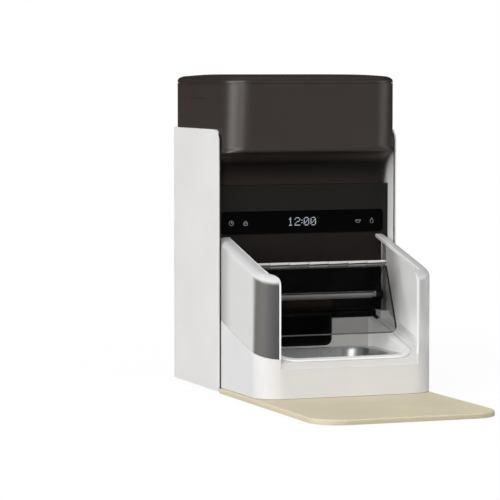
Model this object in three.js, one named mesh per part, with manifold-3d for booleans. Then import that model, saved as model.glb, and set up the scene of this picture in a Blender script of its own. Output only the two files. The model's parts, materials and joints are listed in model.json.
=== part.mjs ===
// An automatic pet feeder: a white shell round a brown food tank, a bowl between two clear guards,
// a clear lid that folds over the bowl, and a feeding mat in front. Lengths are in millimetres.
// X points right, Y points back from the front edges of the side walls, Z points up from the floor.
import * as THREE from 'three';
import { mergeVertices } from 'three/addons/utils/BufferGeometryUtils.js';
import Module from 'manifold-3d';

const wasm = await Module();
wasm.setup();

// Driving dimensions: fits
const fit = 0.3;
const overrun = 1;

// Driving dimensions: shell and floor
const shellHalfWidth = 97;
const shellWall = 3;
const shellDepth = 140;
const shellDrop = 46.1;
const shellBackRadius = 5;
const shellFrontRadius = 13;
const floorGap = 1.5;
const matReach = 271;
const matThickness = 5;
const matHalfWidth = 94;
const matRadius = 30;
const matEdge = 1.2;
const footRadius = 9;
const footInset = 22;

// Driving dimensions: lower housing, tray and bowl
const baseFront = 112;
const baseRadius = 26;
const baseWall = 3;
const baseRear = 17;
const deckRise = 72.9;
const deckSlope = 0.2625;
const rimDrop = 2.2;
const rimThickness = 1.6;
const rimOverlap = 3;
const ledgeThickness = 3;
const grooveWidth = 2;
const grooveDepth = 0.8;
const grooveSpacing = 7;
const grooveCount = 2;
const notchSide = 2.3;
const notchBottom = 34.6;
const notchDepth = 1.8;
const traySide = 23.7;
const trayFront = 106;
const trayBack = 3;
const trayWall = 3.5;
const trayRadius = 20;
const trayBottom = 13.5;
const trayFloor = 2;
const bowlRimTop = 42.5;
const bowlRimWidth = 8;
const bowlWall = 1;
const bowlDepth = 24;
const bowlTaper = 6;
const bowlCornerRadius = 24;
const bowlFootRadius = 5;
const bowlLipRadius = 2;
const heelWidth = 9.5;
const heelLength = 12;
const heelGap = 0.5;

// Driving dimensions: guards
const guardWall = 3;
const guardHeight = 79;
const guardSlope = 0.26;
const guardRoll = 8;
const guardLip = 13.7;
const guardEdgeRadius = 7;
const guardFlange = 7;

// Driving dimensions: front panel, display and cavity
const panelFront = 14.2;
const panelThickness = 3;
const panelGap = 4.6;
const headerHeight = 26.7;
const postWidth = 6.9;
const displayHeight = 22.8;
const displaySide = 5.2;
const displayRadius = 4;
const displayThickness = 1.6;
const displayMargin = 4;
const boardThickness = 1.6;
const frameThickness = 3;
const lowerPanelHeight = 30.1;
const cavityHeight = 50.5;
const cavityWall = 2;
const sensorSide = 48.2;
const sensorHeight = 10;
const sensorDepth = 3;

// Driving dimensions: tank
const tankHeight = 63.3;
const tankFront = 20.75;
const tankRadius = 28;
const tankLowRadius = 15;
const tankWall = 2.6;
const tankBackRadius = 4;
const browHeight = 39.4;
const browRadius = 6;
const binFlange = 1.8;
const binFlangeInset = 1.4;
const seamStep = 0.6;
const binInset = 12;
const binWall = 2;
const shoulderRise = 47.1;
const outletHalfWidth = 24;
const outletHalfDepth = 19;
const outletWall = 2;
const lidSeam = 0.5;
const lidHeight = 8.9;
const lidRadius = 5;
const lidEdge = 10;
const lidCrown = 1.7;
const crownReach = 25;
const lidPlate = 4.3;
const skirtDepth = 5;
const skirtWall = 2;
const sealThickness = 2;
const sealHeight = 2.4;
const desiccantHalfLength = 30;
const desiccantHalfWidth = 20;
const desiccantHeight = 11.3;
const desiccantWall = 1.5;
const desiccantSlots = 7;
const latchFront = 44.5;
const latchLength = 49.5;
const latchHeight = 13.5;
const latchDrop = 1.8;
const latchPlate = 2.4;
const latchRim = 0.7;
const springRadius = 3.6;
const springWire = 0.8;
const springCurls = 4;

// Driving dimensions: dispenser and food chute
const rotorBack = 62;
const rotorDrop = 29.9;
const rotorRadius = 26.5;
const rotorHalfLength = 29;
const rotorHub = 7;
const rotorVanes = 6;
const vaneThickness = 2.4;
const rotorGap = 1.2;
const shaftRadius = 3;
const dispenserWall = 3;
const dispenserDrop = 28;
const chuteHalfWidth = 29.2;
const chuteX = -3.2;
const chuteWall = 2;
const chuteLow = 44;
const chuteRoofGap = 1;
const chuteKneeY = 34;
const chuteKneeRise = 13;
const chuteBackRise = 60;
const chuteShoulderRise = 15.5;
const chuteCorner = 7;
const gearboxLength = 18;
const gearboxHalf = 14;
const motorLength = 24;
const motorRadius = 11;

// Driving dimensions: folding lid
const hingeY = 6;
const hingeRise = 16.4;
const rearPlateReach = 48.18;
const frontPlateReach = 74.9;
const rearPlateAngle = 46.77;
const frontPlateAngle = -66.46;
const plateSide = 5.5;
const rearPlateInset = 0.5;
const plateThickness = 1.2;
const plateSlot = 0.25;
const plateCorner = 8;
const plateGrip = 1.6;
const gripWeb = 0.5;
const rearBarRadius = 3.6;
const rearBarSide = 1.3;
const rearBarStep = 4.4;
const rearBarSlot = 1.4;
const rearCollarRadius = 2.4;
const stripThickness = 2.8;
const hingePinRadius = 1.4;
const foldBarRadius = 2.6;
const foldBarInset = 1;
const foldPinRadius = 0.9;
const knuckleCount = 7;
const bracketThickness = 2.7;
const bracketRadius = 5;
const bracketHeight = 20;
const gearTeeth = 26;
const pinionTeeth = 12;
const gearPitch = 13;
const gearWidth = 3.2;
const lidMotorRadius = 6.5;
const lidMotorLength = 26;
const lidMountLength = 12;

// Driving dimensions: electronics and power
const mainBoardHalfWidth = 45;
const mainBoardBottom = 55;
const mainBoardHeight = 60;
const bossRadius = 3.5;
const bossLength = 5;
const bossInset = 6;
const chipWidth = 18;
const chipHeight = 3;
const jackSide = 37;
const jackZ = 28;
const jackRadius = 5.5;
const jackLength = 15;
const jackBore = 3.2;
const antennaWidth = 3.6;
const antennaThickness = 1.5;
const antennaDrop = 4;
const speakerRadius = 17;
const speakerHeight = 8;
const speakerSide = 19.7;
const speakerHoleRadius = 1.4;
const speakerHoles = 6;
const coverThickness = 2.5;
const cellRadius = 16.5;
const cellLength = 59.5;
const cellSpacing = 34;
const cellCount = 2;
const cellTip = 2;
const cellTipRadius = 5;
const contactThickness = 0.5;
const batteryWall = 1.5;
const powerBack = 46.7;
const doorLip = 3;
const screwHeadRadius = 3;
const screwHeadHeight = 1.2;
const screwRadius = 1.5;
const screwLength = 9;
const screwInset = 12;

// Counts and shares
const cornerSteps = 6;
const roundSides = 20;
const smallSides = 12;
const browSteps = 8;
const rollSteps = 4;
const toothRootShare = 0.46;
const toothTipShare = 0.24;
const slopeWallShare = 1.35;
const springSteps = 8;
const springSides = 5;
const half = 0.5;
const quarterTurn = Math.PI / 2;
const fullTurn = Math.PI * 2;

// Sizes that follow from the driving ones
const innerHalf = shellHalfWidth - shellWall;
const bodyHalf = innerHalf - fit;
const shellInnerBack = shellDepth - shellWall;
const bodyBack = shellInnerBack - fit;
const panelBottom = deckRise + panelGap;
const heelTop = panelBottom - heelGap;
const cavityTop = panelBottom + cavityHeight;
const displayBottom = cavityTop + lowerPanelHeight;
const displayTop = displayBottom + displayHeight;
const displayHalfWidth = bodyHalf - displaySide;
const panelTop = displayTop + headerHeight;
const browTop = panelTop + browHeight;
const tankTop = browTop + tankHeight;
const lidTop = tankTop + lidHeight;
const shellTop = tankTop - shellDrop;
const guardRise = deckRise + guardHeight;
const trayHalfWidth = bodyHalf - traySide;
const notchHalfWidth = trayHalfWidth + notchSide;
const matX = matHalfWidth - shellHalfWidth;
const baseBottom = matThickness + fit;
const rimRise = deckRise - rimDrop;
const ledgeRise = rimRise - rimThickness - fit;
const panelBack = panelFront + panelThickness;
const frameFront = panelBack + fit;
const frameBack = frameFront + frameThickness;
const tankBottom = panelTop + fit;
const binShoulder = tankBottom + shoulderRise;
const rotorHeight = tankBottom - rotorDrop;
const dispenserBottom = rotorHeight - dispenserDrop;
const chuteCeiling = panelBottom - chuteRoofGap;
const chuteShoulder = chuteCeiling + chuteShoulderRise;
const chuteKneeZ = chuteLow + chuteKneeRise;
const chuteFloorBack = chuteLow + chuteBackRise;
const hingeZ = panelBottom + hingeRise;
const plateHalfWidth = bodyHalf - guardLip - plateSide;
const rearPlateHalfWidth = plateHalfWidth - rearPlateInset;
const foldBarHalfLength = plateHalfWidth - foldBarInset;
const foldClearance = foldBarRadius + fit;
const powerY = bodyBack - powerBack;
const speakerX = speakerSide - bodyHalf;
const jackX = jackSide - shellHalfWidth;
const bowlHalfWidth = trayHalfWidth - trayWall - fit;
const bowlFront = trayFront - trayWall - fit;
const rotorChamber = rotorRadius + rotorGap;
const dispenserHalfWidth = rotorHalfLength + rotorGap + dispenserWall;
const dispenserHalfDepth = rotorChamber + dispenserWall;
const dispenserTop = tankBottom - fit;
const foldY = hingeY - rearPlateReach * Math.cos(THREE.MathUtils.degToRad(rearPlateAngle));
const foldZ = hingeZ + rearPlateReach * Math.sin(THREE.MathUtils.degToRad(rearPlateAngle));
const toothHeight = gearPitch / (gearTeeth * half);
const pinionPitch = pinionTeeth * toothHeight * half;
const pinionY = hingeY + gearPitch + pinionPitch;
const liner = {
  half: bodyHalf - postWidth - fit - fit,
  top: cavityTop - fit,
  bottom: panelBottom + fit,
  front: panelBack + fit,
  back: pinionY + pinionPitch + toothHeight + fit + cavityWall,
};
const bracketOuter = liner.half - cavityWall - fit;
const bracketInner = bracketOuter - bracketThickness;
const gearInner = bracketInner - fit - gearWidth;
const rearBarHalfLength = gearInner - rearBarSide;
const ductFront = rotorBack - outletHalfDepth + outletWall - chuteWall;
const ductBack = rotorBack + outletHalfDepth - outletWall + chuteWall;
const ductLow = liner.back + cavityWall;
const binHalf = bodyHalf - binInset;
const binFront = -tankFront + binInset;
const binBack = bodyBack - binInset;
const binRadius = tankRadius - binInset;
const binTop = tankTop + fit + binFlange;
const lidBottom = binTop + lidSeam;
const coverTop = floorGap + coverThickness;

// Solids and meshes
function toSolid(geometry) {
  const bare = geometry.index ? geometry.toNonIndexed() : geometry.clone();
  bare.deleteAttribute('normal');
  bare.deleteAttribute('uv');
  const merged = mergeVertices(bare);
  const mesh = new wasm.Mesh({
    numProp: 3,
    vertProperties: merged.attributes.position.array,
    triVerts: new Uint32Array(merged.index.array),
  });
  return new wasm.Manifold(mesh);
}

function toGeometry(solid) {
  const mesh = solid.getMesh();
  const geometry = new THREE.BufferGeometry();
  geometry.setAttribute('position', new THREE.BufferAttribute(new Float32Array(mesh.vertProperties), 3));
  geometry.setIndex(new THREE.BufferAttribute(new Uint32Array(mesh.triVerts), 1));
  geometry.computeVertexNormals();
  return geometry;
}

function union(solids) {
  return solids.reduce((sum, next) => sum.add(next));
}

// Outlines
function arc(u, v, radius, from, to, steps = cornerSteps) {
  const points = [];
  for (let i = 0; i <= steps; i += 1) {
    const angle = from + ((to - from) * i) / steps;
    points.push(new THREE.Vector2(u + radius * Math.cos(angle), v + radius * Math.sin(angle)));
  }
  return points;
}

function corner(u, v, radius, from) {
  if (radius <= 0) return [new THREE.Vector2(u, v)];
  const middle = from + quarterTurn * half;
  const reach = radius * Math.SQRT2;
  const cu = u - reach * Math.cos(middle);
  const cv = v - reach * Math.sin(middle);
  return arc(cu, cv, radius, from, from + quarterTurn);
}

// A rectangle with its corners rounded by lowRadius on the low side of v and highRadius on the other.
function rounded(u0, u1, v0, v1, lowRadius = 0, highRadius = lowRadius) {
  return [
    ...corner(u1, v0, lowRadius, -quarterTurn),
    ...corner(u1, v1, highRadius, 0),
    ...corner(u0, v1, highRadius, quarterTurn),
    ...corner(u0, v0, lowRadius, quarterTurn + quarterTurn),
  ];
}

function disc(u, v, radius, sides = roundSides) {
  return arc(u, v, radius, 0, fullTurn, sides).slice(0, sides);
}

function polygon(pairs) {
  return pairs.map(([u, v]) => new THREE.Vector2(u, v));
}

// Prisms: an outline in (X, Y), (Y, Z) or (X, Z), pushed along the third axis
function extrude(points, length, placement) {
  const options = { depth: length, bevelEnabled: false };
  const geometry = new THREE.ExtrudeGeometry(new THREE.Shape(points), options);
  geometry.applyMatrix4(placement);
  return toSolid(geometry);
}

function alongZ(points, low, high) {
  return extrude(points, high - low, new THREE.Matrix4().makeTranslation(0, 0, low));
}

function alongX(points, low, high) {
  return extrude(
    points,
    high - low,
    new THREE.Matrix4().set(0, 0, 1, low, 1, 0, 0, 0, 0, 1, 0, 0, 0, 0, 0, 1),
  );
}

function alongY(points, low, high) {
  return extrude(
    points,
    high - low,
    new THREE.Matrix4().set(1, 0, 0, 0, 0, 0, -1, high, 0, 1, 0, 0, 0, 0, 0, 1),
  );
}

function box(x0, x1, y0, y1, z0, z1) {
  return alongZ(rounded(x0, x1, y0, y1), z0, z1);
}

// A solid between outlines that are stacked upwards, all with the same number of points.
function loft(rings) {
  const count = rings[0].length;
  const positions = rings.flat().flatMap((p) => [p.x, p.y, p.z]);
  const index = [];
  for (let r = 0; r < rings.length - 1; r += 1) {
    for (let i = 0; i < count; i += 1) {
      const a = r * count + i;
      const b = r * count + ((i + 1) % count);
      index.push(a, b, b + count, a, b + count, a + count);
    }
  }
  const last = (rings.length - 1) * count;
  for (let i = 1; i < count - 1; i += 1) {
    index.push(0, i + 1, i);
    index.push(last, last + i, last + i + 1);
  }
  const geometry = new THREE.BufferGeometry();
  geometry.setAttribute('position', new THREE.Float32BufferAttribute(positions, 3));
  geometry.setIndex(index);
  return toSolid(geometry);
}

function ringAt(points, height, slope = 0) {
  return points.map((p) => new THREE.Vector3(p.x, p.y, height + slope * p.y));
}

// A wedge under the plane that rises backwards by the slope, wide enough for any piece
function underSlope(rise, slope) {
  const front = -baseFront - overrun;
  const back = shellDepth;
  const side = polygon([[front, 0], [back, 0], [back, rise + slope * back], [front, rise + slope * front]]);
  return alongX(side, -shellHalfWidth, shellHalfWidth);
}

// Materials
function plastic(color, roughness, metalness = 0) {
  return new THREE.MeshStandardMaterial({ color, roughness, metalness, flatShading: true });
}

const white = plastic(0xe2e1df, 0.5);
const trayWhite = plastic(0xd8d6d3, 0.45);
const brown = plastic(0x3a3330, 0.45);
const black = plastic(0x201f1c, 0.55);
const brownBlack = plastic(0x1c1817, 0.6);
const gloss = plastic(0x050505, 0.12);
const grey = plastic(0xa8a5a2, 0.4);
const beige = plastic(0xd9ceb0, 0.75);
const rubber = plastic(0x2b2b2b, 0.85);
const steel = plastic(0xb8b8b8, 0.3, 1);
const copper = plastic(0xb46a3c, 0.4, 1);
const green = plastic(0x1e5a38, 0.6);
const clear = plastic(0xdfe3e4, 0.2);
clear.transparent = true;
clear.opacity = half;

// The whole part sits with its centre over the origin
const feeder = new THREE.Group();
const stand = new THREE.Group();
stand.position.y = (matReach - shellDepth) * half;
feeder.add(stand);

function add(name, solid, material, group = stand) {
  const mesh = new THREE.Mesh(toGeometry(solid), material);
  mesh.name = name;
  group.add(mesh);
}

// Shell: two side walls and a back wall, with rounded upper front corners
function shell() {
  const outer = alongZ(
    rounded(-shellHalfWidth, shellHalfWidth, 0, shellDepth, 0, shellBackRadius),
    floorGap,
    shellTop,
  );
  const inner = alongZ(
    rounded(-innerHalf, innerHalf, -overrun, shellInnerBack, 0, shellBackRadius - shellWall),
    floorGap - overrun,
    shellTop + overrun,
  );
  const side = [
    ...polygon([[0, 0], [shellDepth + overrun, 0], [shellDepth + overrun, shellTop]]),
    ...arc(shellFrontRadius, shellTop - shellFrontRadius, shellFrontRadius, quarterTurn, quarterTurn * 2),
  ];
  const profile = alongX(side, -shellHalfWidth - overrun, shellHalfWidth + overrun);
  const wall = outer.subtract(inner).intersect(profile);
  const bosses = boardPosts().map(([x, z]) =>
    alongY(
      disc(x, z, bossRadius, smallSides),
      shellInnerBack - bossLength,
      shellInnerBack + half * shellWall,
    ));
  const hole = alongY(disc(jackX, jackZ, jackRadius + fit), shellInnerBack - overrun, shellDepth + overrun);
  return union([wall, ...bosses]).subtract(hole);
}

function boardPosts() {
  const x = mainBoardHalfWidth - bossInset;
  const low = mainBoardBottom + bossInset;
  const high = mainBoardBottom + mainBoardHeight - bossInset;
  return [[-x, low], [x, low], [-x, high], [x, high]];
}

// Lower housing: a rounded front, a sloped ledge round the tray and a notch at the front
function baseHousing() {
  const outer = alongZ(
    rounded(-bodyHalf, bodyHalf, -baseFront, baseRear, baseRadius, 0),
    baseBottom,
    heelTop * 2,
  );
  const wallTop = underSlope(deckRise, deckSlope);
  const room = rounded(
    -bodyHalf + baseWall,
    bodyHalf - baseWall,
    -baseFront + baseWall,
    baseRear - baseWall,
    baseRadius - baseWall,
    0,
  );
  const roomBelow = alongZ(room, baseBottom - overrun, heelTop * 2);
  const below = roomBelow.intersect(underSlope(ledgeRise - ledgeThickness, deckSlope));
  const above = roomBelow.subtract(underSlope(ledgeRise, deckSlope));
  let body = outer.intersect(wallTop).subtract(below).subtract(above);
  const tray = alongZ(
    rounded(-trayHalfWidth - fit, trayHalfWidth + fit, -trayFront - fit, trayBack + fit, trayRadius, 0),
    baseBottom,
    heelTop * 2,
  );
  body = body.subtract(tray);
  for (const side of [-1, 1]) {
    for (let i = 0; i < grooveCount; i += 1) {
      const middle = side * (trayHalfWidth + rimOverlap + grooveSpacing * (i + half));
      const strip = box(
        middle - grooveWidth * half,
        middle + grooveWidth * half,
        -baseFront + baseRadius,
        trayBack,
        baseBottom,
        heelTop * 2,
      );
      body = body.subtract(strip.subtract(underSlope(ledgeRise - grooveDepth, deckSlope)));
    }
    const inner = side * (bodyHalf - baseWall - heelWidth);
    const edge = side * (bodyHalf - baseWall * half);
    body = body.add(box(
      Math.min(inner, edge),
      Math.max(inner, edge),
      panelFront - fit - heelLength,
      panelFront - fit,
      ledgeRise - ledgeThickness,
      heelTop,
    ));
  }
  const notch = box(
    -notchHalfWidth,
    notchHalfWidth,
    -baseFront - overrun,
    -baseFront + notchDepth,
    notchBottom,
    heelTop,
  );
  const rimRoom = box(
    -notchHalfWidth,
    notchHalfWidth,
    -baseFront - overrun,
    -baseFront + baseWall + overrun,
    notchBottom,
    heelTop,
  ).subtract(underSlope(ledgeRise, deckSlope));
  const panelRoom = box(
    -bodyHalf,
    bodyHalf,
    panelFront - fit,
    baseRear + overrun,
    panelBottom - fit,
    heelTop * 2,
  );
  return body.subtract(notch).subtract(rimRoom).subtract(mouthRoom(fit)).subtract(panelRoom);
}

// Bottom cover: a low plate inside the shell that steps up over the mat at the front
function bottomCover() {
  const rear = alongZ(
    rounded(-bodyHalf, bodyHalf, fit, bodyBack, 0, shellBackRadius - shellWall),
    floorGap,
    coverTop,
  );
  const frontHalf = bodyHalf - baseWall - fit;
  const front = alongZ(
    rounded(
      -frontHalf,
      frontHalf,
      -baseFront + baseWall + fit,
      fit + coverThickness,
      baseRadius - baseWall,
      0,
    ),
    baseBottom,
    baseBottom + coverThickness,
  );
  const riser = box(-frontHalf, frontHalf, fit, fit + coverThickness, floorGap, baseBottom + coverThickness);
  const door = doorOutline(fit);
  let cover = union([rear, front, riser]).subtract(alongZ(door, floorGap - overrun, coverTop + overrun));
  for (const [x, y] of soundHoles()) {
    cover = cover.subtract(alongZ(
      disc(x, y, speakerHoleRadius, smallSides),
      floorGap - overrun,
      coverTop + overrun,
    ));
  }
  for (const [x, y] of Object.values(screwPlaces())) {
    cover = cover.subtract(alongZ(
      disc(x, y, screwRadius + fit, smallSides),
      floorGap - overrun,
      coverTop + overrun,
    ));
    const head = disc(x, y, screwHeadRadius + fit, smallSides);
    cover = cover.subtract(alongZ(head, floorGap - overrun, floorGap + screwHeadHeight + fit));
  }
  return cover;
}

function soundHoles() {
  const places = [[speakerX, powerY]];
  for (let i = 0; i < speakerHoles; i += 1) {
    const angle = (fullTurn * i) / speakerHoles;
    const reach = speakerRadius * half;
    places.push([speakerX + reach * Math.cos(angle), powerY + reach * Math.sin(angle)]);
  }
  return places;
}

function cornerPlaces(side, front, rear) {
  return {
    left_front: [-side, front],
    right_front: [side, front],
    left_rear: [-side, rear],
    right_rear: [side, rear],
  };
}

function screwPlaces() {
  return cornerPlaces(bodyHalf - screwInset, baseRear + screwInset, bodyBack - screwInset);
}

function coverScrew(x, y) {
  const head = alongZ(disc(x, y, screwHeadRadius, smallSides), floorGap, floorGap + screwHeadHeight);
  const slotHalf = screwRadius * half * half;
  const slot = box(
    x - screwHeadRadius,
    x + screwHeadRadius,
    y - slotHalf,
    y + slotHalf,
    floorGap - overrun,
    floorGap + screwHeadHeight * half,
  );
  return head.add(alongZ(
    disc(x, y, screwRadius, smallSides),
    floorGap,
    floorGap + screwLength,
  )).subtract(slot);
}

function footPlaces() {
  return cornerPlaces(bodyHalf - footInset, footInset + footRadius, bodyBack - footInset);
}

function foot(x, y) {
  return alongZ(disc(x, y, footRadius), 0, floorGap - fit);
}

// Feeding mat: a flat sheet with rounded front corners and a softened edge, laid a little to the left
function feedingMat() {
  const outline = (inset) =>
    rounded(
      matX - matHalfWidth + inset,
      matX + matHalfWidth - inset,
      -matReach + inset,
      -floorGap - inset,
      matRadius - inset,
      matEdge * 2 - inset,
    );
  return loft([
    ringAt(outline(0), 0),
    ringAt(outline(0), matThickness - matEdge),
    ringAt(outline(matEdge), matThickness),
  ]);
}

// Tray: a basin with a sloped rim that lies on the housing's ledge
function tray() {
  const plan = (inset, radius) =>
    rounded(
      -trayHalfWidth + inset,
      trayHalfWidth - inset,
      -trayFront + inset,
      trayBack - inset,
      radius,
      0,
    );
  const rimTop = underSlope(rimRise, deckSlope);
  const walls = alongZ(plan(0, trayRadius), trayBottom, heelTop * 2);
  const rimPlan = rounded(
    -trayHalfWidth - rimOverlap,
    trayHalfWidth + rimOverlap,
    -baseFront + baseWall + fit,
    trayBack,
    trayRadius + rimOverlap,
    0,
  );
  const rim = alongZ(
    rimPlan,
    trayBottom,
    heelTop * 2,
  ).subtract(underSlope(rimRise - rimThickness, deckSlope));
  const basin = alongZ(plan(trayWall, trayRadius - trayWall), bowlRimTop - bowlWall - fit, heelTop * 2);
  const pocketInset = trayWall + bowlRimWidth - bowlWall - fit * 2;
  const pocket = alongZ(plan(pocketInset, bowlCornerRadius), trayBottom + trayFloor, heelTop);
  return union([walls, rim]).intersect(rimTop).subtract(basin).subtract(pocket).subtract(mouthRoom(fit));
}

// Bowl: a pressed steel dish with a flat rim
function bowl() {
  const back = -trayWall + trayBack - fit;
  const plan = (inset, radius) =>
    rounded(-bowlHalfWidth + inset, bowlHalfWidth - inset, -bowlFront + inset, back - inset, radius, radius);
  const rimRadius = trayRadius - trayWall - fit;
  const rim = loft([
    ringAt(plan(0, rimRadius), bowlRimTop - bowlWall),
    ringAt(plan(0, rimRadius), bowlRimTop),
  ]);
  const floorZ = bowlRimTop - bowlDepth;
  const skin = (inset, lift) => loft([
    ringAt(
      plan(bowlRimWidth + bowlTaper + bowlFootRadius + inset, bowlCornerRadius - bowlFootRadius),
      floorZ + lift,
    ),
    ringAt(plan(bowlRimWidth + bowlTaper + inset, bowlCornerRadius), floorZ + bowlFootRadius + lift),
    ringAt(
      plan(bowlRimWidth + bowlLipRadius + inset, bowlCornerRadius),
      bowlRimTop - bowlLipRadius - bowlWall,
    ),
    ringAt(
      plan(bowlRimWidth + inset, bowlCornerRadius),
      lift > 0 ? bowlRimTop + overrun : bowlRimTop - bowlWall * half,
    ),
  ]);
  return rim.add(skin(0, 0)).subtract(skin(bowlWall, bowlWall));
}

// Guards: one rounded wall round the bowl with its top rolled inwards, open at the front middle
function guards() {
  const plan = (inset) =>
    rounded(
      -bodyHalf + inset,
      bodyHalf - inset,
      -baseFront + inset,
      panelFront - fit,
      baseRadius - inset,
      0,
    );
  const skin = (inset) => {
    const roll = guardRoll - inset;
    const top = guardRise - inset;
    const rings = [ringAt(plan(inset), guardSlope * (baseFront + overrun) - inset, guardSlope)];
    for (let i = 0; i <= rollSteps; i += 1) {
      const angle = (quarterTurn * i) / rollSteps;
      const shift = roll * (1 - Math.cos(angle));
      rings.push(ringAt(plan(inset + shift), top - roll + roll * Math.sin(angle), guardSlope));
    }
    return loft(rings);
  };
  const rearEnd = panelFront - fit - guardWall;
  const room = skin(guardWall);
  const frontRoom = box(-bodyHalf, bodyHalf, -baseFront, rearEnd, 0, tankTop).intersect(room);
  const flangeRoom = box(-bodyHalf + guardFlange, bodyHalf - guardFlange, -baseFront, baseRear, 0, tankTop);
  const middle = alongZ(plan(guardLip), 0, tankTop);
  const edgeTop = guardRise - guardSlope * (baseFront - guardLip);
  const gap = [
    ...polygon([[-notchHalfWidth, 0], [notchHalfWidth, 0]]),
    ...arc(
      notchHalfWidth + guardEdgeRadius,
      edgeTop - guardEdgeRadius,
      guardEdgeRadius,
      quarterTurn * 2,
      quarterTurn,
    ),
    ...polygon([
      [notchHalfWidth + guardEdgeRadius, tankTop],
      [-notchHalfWidth - guardEdgeRadius, tankTop],
    ]),
    ...arc(
      -notchHalfWidth - guardEdgeRadius,
      edgeTop - guardEdgeRadius,
      guardEdgeRadius,
      quarterTurn,
      0,
    ),
  ];
  return skin(0)
    .subtract(frontRoom)
    .subtract(flangeRoom.intersect(room))
    .subtract(middle)
    .subtract(alongY(gap, -baseFront - overrun, -baseFront + baseRadius))
    .subtract(underSlope(deckRise + fit, deckSlope))
    .subtract(heels(fit));
}

// The two blocks at the back of the ledge, grown by a clearance
function heels(clearance) {
  return union([-1, 1].map((side) => {
    const inner = side * (bodyHalf - baseWall - heelWidth - clearance);
    const edge = side * (bodyHalf + clearance);
    return box(
      Math.min(inner, edge),
      Math.max(inner, edge),
      panelFront - fit - heelLength - clearance,
      panelFront,
      0,
      heelTop + clearance,
    );
  }));
}

// Front panel: a black plate with a recess for the display and a wide opening for the cavity
function frontPanel() {
  const plate = box(-bodyHalf, bodyHalf, panelFront, panelBack, panelBottom, panelTop);
  const opening = box(
    -bodyHalf + postWidth,
    bodyHalf - postWidth,
    panelFront - overrun,
    panelBack + overrun,
    panelBottom - overrun,
    displayBottom - fit,
  );
  const recess = alongY(
    rounded(-displayHalfWidth - fit, displayHalfWidth + fit, displayBottom, displayTop + fit, displayRadius),
    panelFront - overrun,
    panelFront + displayThickness + fit,
  );
  const window = box(
    -displayHalfWidth + displayMargin,
    displayHalfWidth - displayMargin,
    panelFront,
    panelBack + overrun,
    displayBottom + displayMargin,
    displayTop - displayMargin,
  );
  return plate.subtract(opening).subtract(recess).subtract(window);
}

function displayWindow() {
  const outline = rounded(
    -displayHalfWidth,
    displayHalfWidth,
    displayBottom + fit,
    displayTop,
    displayRadius,
  );
  return alongY(outline, panelFront, panelFront + displayThickness);
}

// Display board: the circuit board with its dot matrix and four touch pads standing into the window
function displayBoard() {
  const x = displayHalfWidth - displayMargin + displayThickness;
  const low = displayBottom + displayThickness;
  const high = displayTop - displayThickness;
  const board = box(-x, x, panelBack + fit, panelBack + fit + boardThickness, low, high);
  const depth = panelThickness - displayThickness;
  const padHalf = displayMargin - fit;
  const middle = (displayBottom + displayTop) * half;
  const matrixHalf = displayHalfWidth * half * half;
  const blocks = [[0, matrixHalf]];
  for (const share of padShares) blocks.push([displayHalfWidth * share, padHalf]);
  const pads = blocks.map(([at, reach]) =>
    box(
      at - reach,
      at + reach,
      panelBack - depth * half,
      panelBack + boardThickness,
      middle - padHalf,
      middle + padHalf,
    ));
  return union([board, ...pads]);
}

const padShares = [-0.877, -0.704, 0.685, 0.858];

function lowerPanel() {
  const x = bodyHalf - postWidth - fit;
  return box(-x, x, panelFront, panelBack, cavityTop, displayBottom - fit - fit);
}

// Inner frame: the plate behind the panel that carries it, the liner and the display board
function innerFrame() {
  const x = bodyHalf - ledgeThickness;
  const plate = box(-x, x, frameFront, frameBack, panelBottom, tankBottom - fit - fit);
  const cavity = box(
    -liner.half - fit,
    liner.half + fit,
    frameFront - overrun,
    frameBack + overrun,
    panelBottom - overrun,
    liner.top + fit,
  );
  const boardHalf = displayHalfWidth - displayMargin + displayThickness + fit;
  const board = box(
    -boardHalf,
    boardHalf,
    frameFront - overrun,
    frameBack + overrun,
    displayBottom + displayThickness - fit,
    displayTop - displayThickness + fit,
  );
  return plate.subtract(cavity).subtract(board);
}

function cavityLiner() {
  const outer = box(-liner.half, liner.half, liner.front, liner.back, liner.bottom, liner.top);
  const inner = box(
    -liner.half + cavityWall,
    liner.half - cavityWall,
    liner.front - overrun,
    liner.back - cavityWall,
    liner.bottom + cavityWall,
    liner.top - cavityWall,
  );
  return outer.subtract(inner);
}

function bowlSensor() {
  const back = liner.back - cavityWall - fit;
  const low = liner.bottom + cavityWall + fit;
  const reach = liner.half - sensorSide;
  return box(-reach, reach, back - sensorDepth, back, low, low + sensorHeight);
}

// Tank outline at a height: its front edge and corner radius change where it curves back over the bowl
function tankPlan(inset, front, radius) {
  return rounded(
    -bodyHalf + inset,
    bodyHalf - inset,
    front + inset,
    bodyBack - inset,
    Math.max(radius - inset, inset),
    Math.max(tankBackRadius - inset, fit),
  );
}

// The hollow curve under the tank's front, from the panel's top up to the rounded brow
function browRings(inset) {
  const rings = [];
  const foot = panelFront;
  const browBottom = browTop - browRadius;
  const startY = -tankFront + browRadius;
  for (let i = 0; i <= browSteps; i += 1) {
    const angle = quarterTurn * (1 - i / browSteps);
    const y = startY + (foot - startY) * Math.sin(angle);
    const z = tankBottom + (browBottom - tankBottom) * Math.cos(angle);
    rings.push(ringAt(tankPlan(inset, y, tankLowRadius), z + inset));
  }
  for (let i = 1; i <= rollSteps; i += 1) {
    const angle = (quarterTurn * i) / rollSteps;
    const y = startY - (browRadius - inset) * Math.sin(angle) - inset;
    const z = browTop - (browRadius - inset) * Math.cos(angle);
    const radius = tankLowRadius + ((tankRadius - tankLowRadius) * i) / rollSteps;
    rings.push(ringAt(tankPlan(inset, y, radius), z));
  }
  return rings;
}

function latchWindow(clearance) {
  const top = tankTop - latchDrop;
  return rounded(
    latchFront - clearance,
    latchFront + latchLength + clearance,
    top - latchHeight - clearance,
    top + clearance,
    latchDrop,
  );
}

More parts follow.
